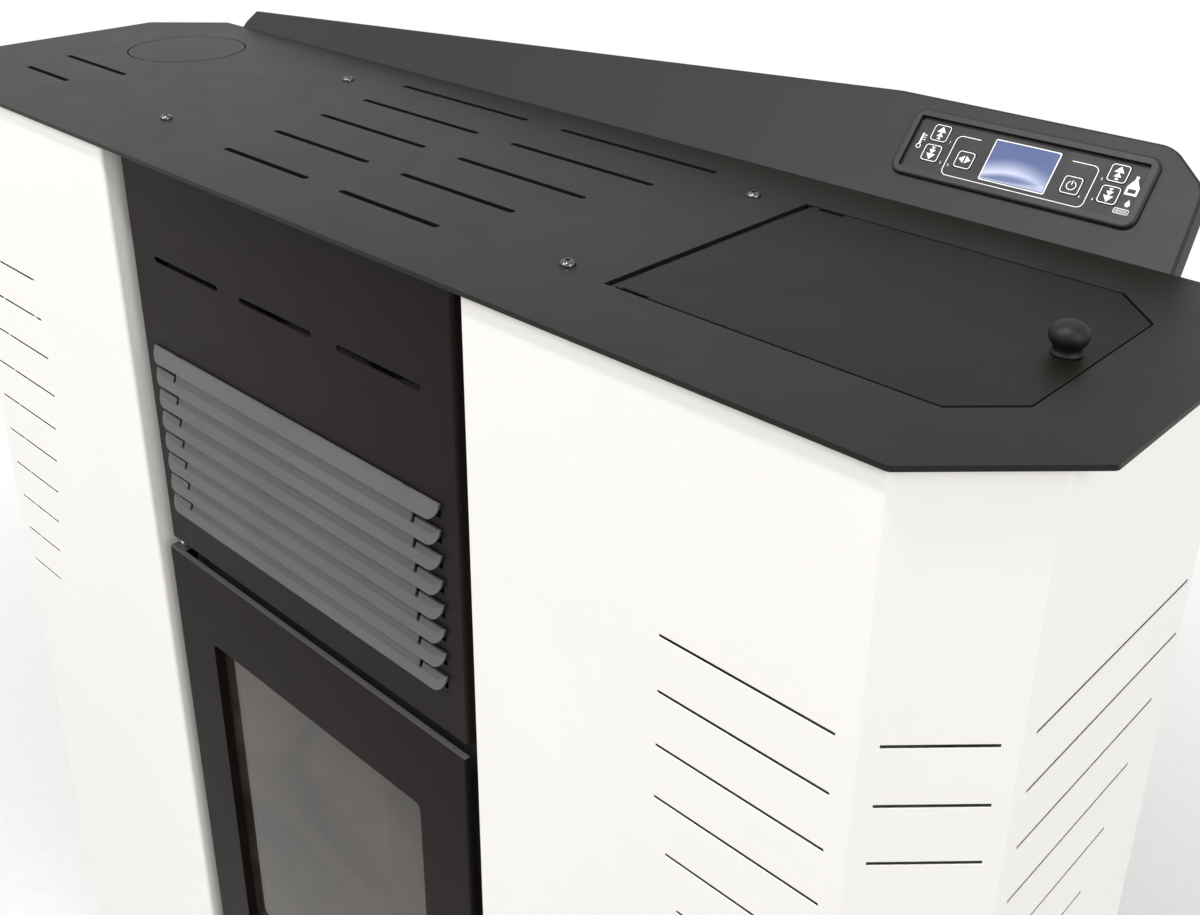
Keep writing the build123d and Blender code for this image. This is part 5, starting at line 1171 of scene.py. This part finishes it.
class STOVE_OT_console(Operator):
    """Bend the console plate up behind the cover, with its sloping top edge"""
    bl_idname = "stove.console"
    bl_label = "Console"

    def execute(self, context):
        sizes = context.scene.stove_console
        left, right, high, crest = -0.447, 0.454, sizes.high, 0.245
        end_rise, end_run, turn_down, sheet_width = 0.0214, 0.026, 0.014, 0.002
        sheet = plane("console_sheet", right - left, high, ((left + right) / 2, high / 2, 0))
        slope = Vector((crest - (left + 0.006), high - sizes.low, 0)).normalized()
        edit(sheet)
        for point, way in (((crest, high, 0), (-slope.y, slope.x, 0)),
                           ((left, sizes.low - 0.014, 0), (-0.014, 0.006, 0)),
                           ((right - 0.004 - end_run, high, 0), (end_rise, end_run, 0)),
                           ((right, 0, 0), (high - end_rise, 0.004, 0))):
            select_all()
            bpy.ops.mesh.bisect(plane_co=point, plane_no=Vector(way).normalized(),
                                clear_outer=True)
        select_all()
        bpy.ops.mesh.remove_doubles(threshold=1e-5)
        pick(sheet, "VERT", lambda vert: vert.co.x > 0.3 and vert.co.y > 0.03)
        bevel(0.007, 6, "VERTICES")
        pick(sheet, "EDGE", lambda edge: edge.is_boundary and middle(edge).y > 0.0005)
        extrude(0, 0, -turn_down)
        pick(sheet, "EDGE", lambda edge: len(edge.link_faces) == 2
             and edge.calc_face_angle() > 1.0)
        bevel(0.0022, 4)
        select_all()
        bpy.ops.mesh.normals_make_consistent(inside=False)
        leave()
        sheet_of(sheet, sheet_width, 0, 0, 1)
        half_w = (sizes.bezel_width - 2 * sizes.lip + 0.005) / 2
        half_h = (sizes.bezel_height - 2 * sizes.lip + 0.005) / 2
        cut(sheet, block("display_cut",
                         (sizes.display_x - half_w, sizes.display_up - half_h, -0.01),
                         (sizes.display_x + half_w, sizes.display_up + half_h, 0.01)))
        on_console(sheet, sizes, 0, 0, 0)
        cut(sheet, block("cover_side", (-0.6, FRONT, TOP - 0.06), (0.6, REAR, TOP + 0.02)))
        soften(turn_out(sheet), 0.0003)
        skirt = block("console_skirt", (left, REAR, TOP - 0.025),
                      (right, REAR + sheet_width, TOP))
        dress(join("console_sheet", [sheet, soften(skirt, 0.0003)]), "console_paint", "cabinet",
              "console_plate")
        return {"FINISHED"}


class STOVE_OT_display(Operator):
    """Model the display's frame, the keypad face behind it and the screen"""
    bl_idname = "stove.display"
    bl_label = "Display"

    def execute(self, context):
        sizes = context.scene.stove_console
        half_w, half_h, rise = sizes.bezel_width / 2, sizes.bezel_height / 2, sizes.bezel_rise
        inner_w, inner_h = half_w - sizes.lip, half_h - sizes.lip
        bezel = block("bezel", (-half_w, -half_h, 0), (half_w, half_h, rise))
        round_uprights(bezel, 0.008, 90.0, 8)
        cut(bezel, opening("bezel_hole", inner_w, inner_h, 0.0012, 4))
        turn_out(bezel)
        bevel_where(bezel, lambda edge: lies_at(edge, 2, rise)
                    and (abs(middle(edge).x) > inner_w + 0.0008
                         or abs(middle(edge).y) > inner_h + 0.0008)
                    and len(edge.link_faces) == 2 and edge.calc_face_angle() > 1.0,
                    0.0021, 5, clamp=True)
        soften(bezel, 0.0003)

        width, height = inner_w + 0.0025, inner_h + 0.0025
        wide, tall = sizes.screen_width / 2, sizes.screen_height / 2
        face = block("keypad_face", (-width, -height, -0.003), (width, height, 0))
        cut(face, opening("screen_cut", wide, tall))
        key_half = sizes.key / 2 + 0.0002
        for spot in KEYS.values():
            cut(face, opening("key_cut", key_half, key_half, 0.0022, 6, *spot))
        soften(turn_out(face), 0.00015)

        lens = block("screen", (-wide, -tall, -0.0024), (wide, tall, 0))
        edit(lens)
        pick(lens, "FACE", lambda face: face.normal.z > 0.9)
        bpy.ops.mesh.subdivide(number_cuts=27)
        pick(lens, "VERT", lambda vert: vert.co.z > -0.001 and vert.co.to_2d().length < 0.0008)
        bpy.ops.transform.translate(value=(0, 0, 0.0007), use_proportional_edit=True,
                                    proportional_edit_falloff="SPHERE", proportional_size=0.030)
        leave()
        soften(lens, 0.0002)

        for obj, finish, slot, node in (
                (bezel, "bezel_black", "bezel_black", "display_bezel"),
                (face, "key_black", "bezel_black", None),
                (lens, "display_screen", "display_glass", "display_lens")):
            on_console(obj, sizes, sizes.display_x, sizes.display_up, 0)
            dress(obj, finish, "cabinet", node)
        return {"FINISHED"}


# ---- Printed marks ----
def flat(name, width, height, round_by=0.0, x=0.0, y=0.0):
    """Flat rectangle about a point, with rounded corners."""
    obj = plane(name, width, height, (x, y, 0))
    if round_by:
        edit(obj, "VERT")
        select_all()
        bevel(round_by, 6, "VERTICES")
        leave()
    return obj


def outline(obj, line):
    """Keep only a line's width round the edge of a flat shape."""
    edit(obj, "FACE")
    select_all()
    bpy.ops.mesh.inset(thickness=line, depth=0)
    bpy.ops.mesh.delete(type="FACE")
    leave()
    return obj


def open_top(obj, low, high):
    """Take the upper part of a flat outline away between two X values."""
    edit(obj, "FACE")
    for x in (low, high):
        select_all()
        bpy.ops.mesh.bisect(plane_co=(x, 0, 0), plane_no=(1, 0, 0))
    pick(obj, "FACE", lambda face: low < face.calc_center_median().x < high
         and face.calc_center_median().y > 0)
    bpy.ops.mesh.delete(type="FACE")
    leave()
    return obj


def arrow(x, y, size, way):
    """Triangle that points up (1), down (-1), right (2) or left (-2), broader than it is high."""
    turn = {1: 0.0, -1: pi, 2: -pi / 2, -2: pi / 2}[way]
    shape = disc("arrow", size, x, y, 3, turn)
    broad = (1.3, 1, 1) if abs(way) == 1 else (1, 1.3, 1)
    edit(shape)
    select_all()
    bpy.ops.transform.resize(value=broad, center_override=(x, y, 0))
    leave()
    return shape


def digit(text, x, y):
    """Small number as a flat mesh."""
    bpy.ops.object.text_add(location=(0, 0, 0))
    curve = bpy.context.active_object.data
    curve.body = text
    curve.size = 0.00238
    curve.align_x = curve.align_y = "CENTER"
    bpy.ops.object.convert(target="MESH")
    return place(bpy.context.active_object, (x, y, 0))


def stamp(name, shapes, sizes, x, up, out, body):
    """Join printed shapes, give them a film's thickness and lay them on the console."""
    mark = turn_out(join(name, shapes), 1e-7)
    apply_modifier(mark, "SOLIDIFY", thickness=0.00006, offset=0.0)
    turn_out(mark)
    on_console(mark, sizes, x, up, out + 0.00004)
    dress(mark, "key_print", body)


def key_marks(name, line, key):
    """Printed shapes of one key about its middle: its border and its sign."""
    shapes = [outline(flat("border", key - 0.0006, key - 0.0006, 0.0021), line)]
    if name.endswith(("_up", "_down")):
        way = 1 if name.endswith("_up") else -1
        shapes += [arrow(0, way * y, size, way)
                   for y, size in ((0.0019, 0.0027), (-0.0014, 0.0020), (-0.0037, 0.0012))]
    elif name == "key_set":
        shapes += [arrow(0.0017, 0.0003, 0.0023, 2), arrow(-0.0017, 0.0003, 0.0023, -2)]
    else:
        ring = outline(disc("ring", 0.0030, 0, -0.0002, 40), line)
        shapes += [open_top(ring, -0.0011, 0.0011), flat("bar", line, 0.0030, 0, 0, 0.0018)]
    return shapes


class STOVE_OT_keys(Operator):
    """Model one key, copy it to the six places and print each key's sign on it"""
    bl_idname = "stove.keys"
    bl_label = "Keys"

    def execute(self, context):
        sizes = context.scene.stove_console
        half, rise, foot = sizes.key / 2, 0.0003, -0.003
        wide = half + 0.0008
        key = block("key", (-half, -half, foot), (half, half, rise))
        round_uprights(key, 0.002, 90.0, 6)
        soften(key, 0.0002)
        flange = block("flange", (-wide, -wide, foot - 0.001), (wide, wide, foot))
        key = join("key", [key, soften(flange, 0.0002)])
        for name, (x, up) in KEYS.items():
            x, up = sizes.display_x + x, sizes.display_up + up
            cap = on_console(copy_of(key, f"{name}_cap"), sizes, x, up, 0)
            dress(cap, "key_black", name, name)
            stamp(f"{name}_print", key_marks(name, sizes.line, sizes.key), sizes, x, up, rise,
                  name)
        bpy.data.objects.remove(key)
        return {"FINISHED"}


class STOVE_OT_keypad_print(Operator):
    """Print the lines, numbers and signs on the keypad's face"""
    bl_idname = "stove.keypad_print"
    bl_label = "Keypad print"

    def execute(self, context):
        sizes = context.scene.stove_console
        frame_line = outline(flat("screen_line", sizes.screen_width + 0.0016,
                                  sizes.screen_height + 0.0016, 0.0012), 0.0007)
        loop = outline(flat("loop", 0.0930, 0.0281, 0.0040, 0.0, -0.0029), sizes.line)
        numbers = [digit(*number) for number in (
            ("1", -0.0495, 0.0050), ("2", -0.0495, -0.0095), ("3", -0.0440, -0.0100),
            ("4", 0.0420, -0.0100), ("5", 0.0500, 0.0040), ("6", 0.0500, -0.0095))]
        thermometer = [outline(disc("bulb", 0.0017, -0.0690, -0.0018, 24), 0.0005),
                       flat("stem", 0.0013, 0.0078, 0.0005, -0.0690, 0.0036)]
        thermometer += [flat("mark", width, 0.0006, 0, -0.0670, y)
                        for width, y in ((0.0016, 0.0062), (0.0012, 0.0046), (0.0016, 0.0030))]
        house = [outline(flat("walls", 0.0074, 0.0054, 0, 0.0693, 0.0006), 0.0014),
                 disc("roof", 0.0042, 0.0693, 0.0053, 3),
                 flat("chimney", 0.0019, 0.0034, 0, 0.0693, 0.0086)]
        flame = [disc("flame", 0.0015, 0.0703, -0.0080, 24),
                 disc("tip", 0.0016, 0.0703, -0.0064, 3)]
        bar = [outline(flat("bar", 0.0090, 0.0034, 0.0009, 0.0685, -0.0127), 0.0004)]
        bar += [flat("rib", 0.0003, 0.0018, 0, 0.0653 + i * 0.0008, -0.0127) for i in range(9)]
        shapes = [frame_line, open_top(loop, -0.0305, 0.0290)] + numbers + thermometer
        shapes += house + flame + bar
        stamp("keypad_print", shapes, sizes, sizes.display_x, sizes.display_up, 0.0, "cabinet")
        return {"FINISHED"}


# ---- Rear and base ----
class STOVE_OT_rear_panel(Operator):
    """Cut the rear panel's openings and vents, and screw it on all round"""
    bl_idname = "stove.rear_panel"
    bl_label = "Rear panel"

    def execute(self, context):
        low, high = box_of("rear_panel")
        panel = block("rear_sheet", low, high)
        y0, y1 = low.y - MARGIN, high.y + MARGIN
        cuts = [(0.315, 0.345, 0.108, 0.132), (0.351, 0.375, 0.110, 0.130)]  # mains socket
        vent = 0.004
        for rows, start, pitch, x0, x1 in ((6, 0.060, 0.014, 0.012, 0.118),
                                           (5, TOP - 0.130, -0.016, 0.230, 0.330)):
            for z in (start + row * pitch for row in range(rows)):
                cuts += [(x0, x1, z, z + vent), (-x1, -x0, z, z + vent)]
        cut(panel, slot_cutter("rear_cuts", [((x0, y0, z0), (x1, y1, z1), 0)
                                             for x0, x1, z0, z1 in cuts]))
        holes = [cylinder("flue_hole", (-0.400, y0, 0.465), 0.042, y1 - y0, "Y", 96),
                 cylinder("air_hole", (0.218, y0, 0.330), 0.0265, y1 - y0, "Y", 72)]
        cut(panel, join("round_holes", holes))
        soften(turn_out(panel), 0.0003)
        dress(panel, "inner_zinc_sheet", "cabinet", "rear_panel")
        head = lathe("panel_screw", [(0.0016, -0.001), (0.0036, 0.0), (0.0036, 0.0006),
                                     (0.0032, 0.0013), (0.0022, 0.0018), (0.0010, 0.0020)], 28)
        for x, y in ((0.0002, 0.0016), (0.0016, 0.0002)):
            cut(head, block("drive", (-x, -y, 0.0010), (x, y, 0.004)))
        soften(head, 0.00008, 1)
        place(head, (0, high.y, 0), (-pi / 2, 0, 0))
        outer, inner = 0.455, 0.18
        spots = [(x, 0, 0.07 + i * 0.192) for x in (-outer, outer) for i in range(6)]
        spots += [(x, 0, z) for x in (-inner, inner) for z in (0.045, 0.40, 0.70)]
        dress(join("rear_screws", copies(head, spots)), "plated_steel", "cabinet")
        return {"FINISHED"}


class STOVE_OT_feet(Operator):
    """Turn one levelling foot with its stud and nut, and copy it to the four corners"""
    bl_idname = "stove.feet"
    bl_label = "Levelling feet"

    def execute(self, context):
        pad = lathe("foot", [(0.0185, 0.0), (0.0198, 0.0008), (0.0198, 0.0040), (0.0180, 0.0062),
                             (0.0140, 0.0092), (0.0090, 0.0100)], 56)
        soften(pad, 0.0004)
        nut = soften(cylinder("nut", (0, 0, 0.022), 0.0088, 0.008, sides=6), 0.0006)
        thread = [(0.0047, 0.0098)]
        for turn in range(24):
            z = 0.0105 + turn * 0.0014
            thread += [(0.0050, z), (0.0044, z + 0.0007)]
        thread.append((0.0040, 0.0455))
        stud = join("foot_stud", [nut, lathe("stud", thread, 32)])
        half, depths = 0.430, (0.066, 0.222)
        spots = [(x, at(depth), 0) for x in (-half, half) for depth in depths]
        dress(join("feet_pads", copies(pad, spots)), "rubber", "cabinet",
              "levelling_feet")
        dress(join("feet_studs", copies(stud, spots)), "plated_steel", "cabinet")
        return {"FINISHED"}


# ---- Inner pieces ----
INNER = {
    "rubber": "lid_gasket",
    "inner_zinc_sheet": "hopper auger_tube left_bay_wall right_bay_wall ash_pan drawer_runners"
                        " combustion_air_box room_air_duct smoke_housing",
    "bright_steel": "hopper_grille auger_screw glass_clips latch_spindle igniter"
                    " room_fan_rotor smoke_impeller",
    "motor_case": "auger_motor room_fan_motor smoke_motor",
    "fire_steel": "pellet_chute firebox heat_exchanger flue_tee",
    "base_paint": "base_plate door_hinge_brackets",
    "circuit_board": "display_board control_board",
    "bright_plated_steel": "door_hinge_pins",
    "window_glass": "door_glass",
    "burner_cast_iron": "firebox_linings burn_pot_seat burn_pot",
    "vermiculite_board": "baffle",
    "socket_black": "power_inlet switch_rocker",
}


class STOVE_OT_inner_finishes(Operator):
    """Give the pieces that are shown as packed their finishes"""
    bl_idname = "stove.inner_finishes"
    bl_label = "Inner finishes"

    def execute(self, context):
        for finish, nodes in INNER.items():
            for node in nodes.split():
                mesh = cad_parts[node].data
                mesh.materials.clear()
                mesh.materials.append(FINISH[finish])
        return {"FINISHED"}


# ---- Studio ----
def floor_material():
    """Pale floor that holds the shadow near the stove and turns white further out."""
    tree = Tree("studio_floor")
    grain = tree.noise(90.0, 4.0, 0.6)
    base = tree.blend(tree.remap(grain, 0.3, 0.7), (0.80, 0.80, 0.795, 1),
                      (0.84, 0.84, 0.835, 1))
    tree.set(color=base, rough=0.85, specular=0.2)
    glow = tree.add("Emission", {"Strength": 1.0})
    path = tree.add("LightPath", {})
    seen = tree.sums("MAXIMUM", path.outputs["Is Camera Ray"], path.outputs["Is Glossy Ray"])
    seen = tree.sums("MAXIMUM", seen, path.outputs["Is Transmission Ray"])
    distance = tree.add("VectorMath", {0: tree.place})
    distance.operation = "LENGTH"
    far = tree.remap(distance.outputs["Value"], 0.75, 1.7)
    mix = tree.add("MixShader", {0: tree.sums("MULTIPLY", seen, far),
                                 1: tree.shader.outputs["BSDF"], 2: glow.outputs[0]})
    tree.put(tree.output.inputs["Surface"], mix.outputs[0])
    return tree.material


def studio_world(strength):
    """Soft even light from all round; the camera, reflections and glass see plain white."""
    world = bpy.data.worlds.new("studio_world")
    world.use_nodes = True
    nodes, links = world.node_tree.nodes, world.node_tree.links
    nodes.clear()
    output = nodes.new("ShaderNodeOutputWorld")
    mix = nodes.new("ShaderNodeMixShader")
    soft, white = nodes.new("ShaderNodeBackground"), nodes.new("ShaderNodeBackground")
    soft.inputs["Color"].default_value = (1.0, 0.995, 0.985, 1)
    soft.inputs["Strength"].default_value = strength
    white.inputs["Color"].default_value = (1, 1, 1, 1)
    path = nodes.new("ShaderNodeLightPath")
    seen = path.outputs["Is Camera Ray"]
    for ray in ("Is Glossy Ray", "Is Transmission Ray"):
        either = nodes.new("ShaderNodeMath")
        either.operation = "MAXIMUM"
        links.new(seen, either.inputs[0])
        links.new(path.outputs[ray], either.inputs[1])
        seen = either.outputs[0]
    for index, socket in enumerate((seen, soft.outputs[0], white.outputs[0])):
        links.new(socket, mix.inputs[index])
    links.new(mix.outputs[0], output.inputs["Surface"])
    return world


def area_light(name, location, target, size, power):
    """Round soft light that faces a target."""
    bpy.ops.object.light_add(type="AREA", location=location)
    light = bpy.context.active_object
    light.name = name
    light.data.shape = "DISK"
    light.data.size = size
    light.data.energy = power
    away = Vector(target) - Vector(location)
    light.rotation_euler = away.to_track_quat("-Z", "Y").to_euler()


def studio_camera(lens):
    """Camera in its fitted place, looking down, with a slight roll and a small shift."""
    yaw, pitch, roll = radians(43.321), radians(-24.481), radians(0.55)
    ahead = Vector((-sin(yaw) * cos(pitch), cos(yaw) * cos(pitch), sin(pitch)))
    right = Vector((cos(yaw), sin(yaw), 0))
    down = ahead.cross(right)
    right, down = (cos(roll) * right - sin(roll) * down, sin(roll) * right + cos(roll) * down)
    turn = Matrix([right, -down, -ahead]).transposed().to_euler()
    bpy.ops.object.camera_add(location=(0.7063, -0.5955, 1.3372), rotation=turn)
    camera = bpy.context.active_object
    camera.name = "studio_camera"
    camera.data.sensor_fit = "HORIZONTAL"
    camera.data.sensor_width = 36.0
    camera.data.lens = lens
    camera.data.shift_y = -0.1
    camera.data.clip_start = 0.02
    camera.data.clip_end = 100.0
    return camera


class STOVE_OT_stage(Operator):
    """Set up the floor, the soft lights, the plain background and the camera"""
    bl_idname = "stove.stage"
    bl_label = "Studio"

    def execute(self, context):
        scene = context.scene
        studio = scene.stove_studio
        scene.view_settings.view_transform = "Standard"
        floor = disc("studio_floor", 30.0, sides=128)
        floor.data.materials.append(floor_material())
        scene.world = studio_world(studio.world)
        area_light("top_light", (0.1, -0.81, 3.66), (0.1, -0.2, 1.0), 0.2, studio.top_power)
        area_light("key_light", (-0.95, -2.08, 3.24), (0, 0, 0.7), 2.1, studio.key_power)
        area_light("fill_light", (3.0, -0.5, 2.2), (0, 0, 0.7), 2.4, studio.fill_power)
        scene.camera = studio_camera(studio.lens)
        return {"FINISHED"}


# ---- Panel and run ----
PROPERTY_GROUPS = {"stove_cover": CoverSizes, "stove_casing": CasingSizes,
                   "stove_front": FrontSizes, "stove_console": ConsoleSizes,
                   "stove_finishes": Finishes, "stove_studio": StudioSettings}
OPERATORS = (STOVE_OT_stage, STOVE_OT_cover, STOVE_OT_cover_screws, STOVE_OT_hopper_lid,
             STOVE_OT_casings, STOVE_OT_front_panels, STOVE_OT_grille, STOVE_OT_door,
             STOVE_OT_latch_knob, STOVE_OT_drawer, STOVE_OT_console, STOVE_OT_display,
             STOVE_OT_keys, STOVE_OT_keypad_print, STOVE_OT_rear_panel, STOVE_OT_feet,
             STOVE_OT_inner_finishes)


class STOVE_PT_panel(Panel):
    bl_label = "Pellet stove"
    bl_idname = "STOVE_PT_panel"
    bl_space_type = "VIEW_3D"
    bl_region_type = "UI"
    bl_category = "Stove"

    def draw(self, context):
        for name in PROPERTY_GROUPS:
            group = getattr(context.scene, name)
            box = self.layout.box()
            for key in group.bl_rna.properties.keys():
                if key not in ("rna_type", "name"):
                    box.prop(group, key)
        for operator in OPERATORS:
            self.layout.operator(operator.bl_idname)


def register():
    for name, group in PROPERTY_GROUPS.items():
        bpy.utils.register_class(group)
        setattr(bpy.types.Scene, name, PointerProperty(type=group))
    for operator in OPERATORS:
        bpy.utils.register_class(operator)
    bpy.utils.register_class(STOVE_PT_panel)


def unregister():
    bpy.utils.unregister_class(STOVE_PT_panel)
    for operator in reversed(OPERATORS):
        bpy.utils.unregister_class(operator)
    for name, group in PROPERTY_GROUPS.items():
        delattr(bpy.types.Scene, name)
        bpy.utils.unregister_class(group)


def main():
    register()
    make_finishes(bpy.context)
    for operator in OPERATORS:
        group, name = operator.bl_idname.split(".")
        result = getattr(getattr(bpy.ops, group), name)()
        if result != {"FINISHED"}:
            raise RuntimeError(f"{operator.bl_label} didn't finish: {result}")


if __name__ == "__main__":
    main()
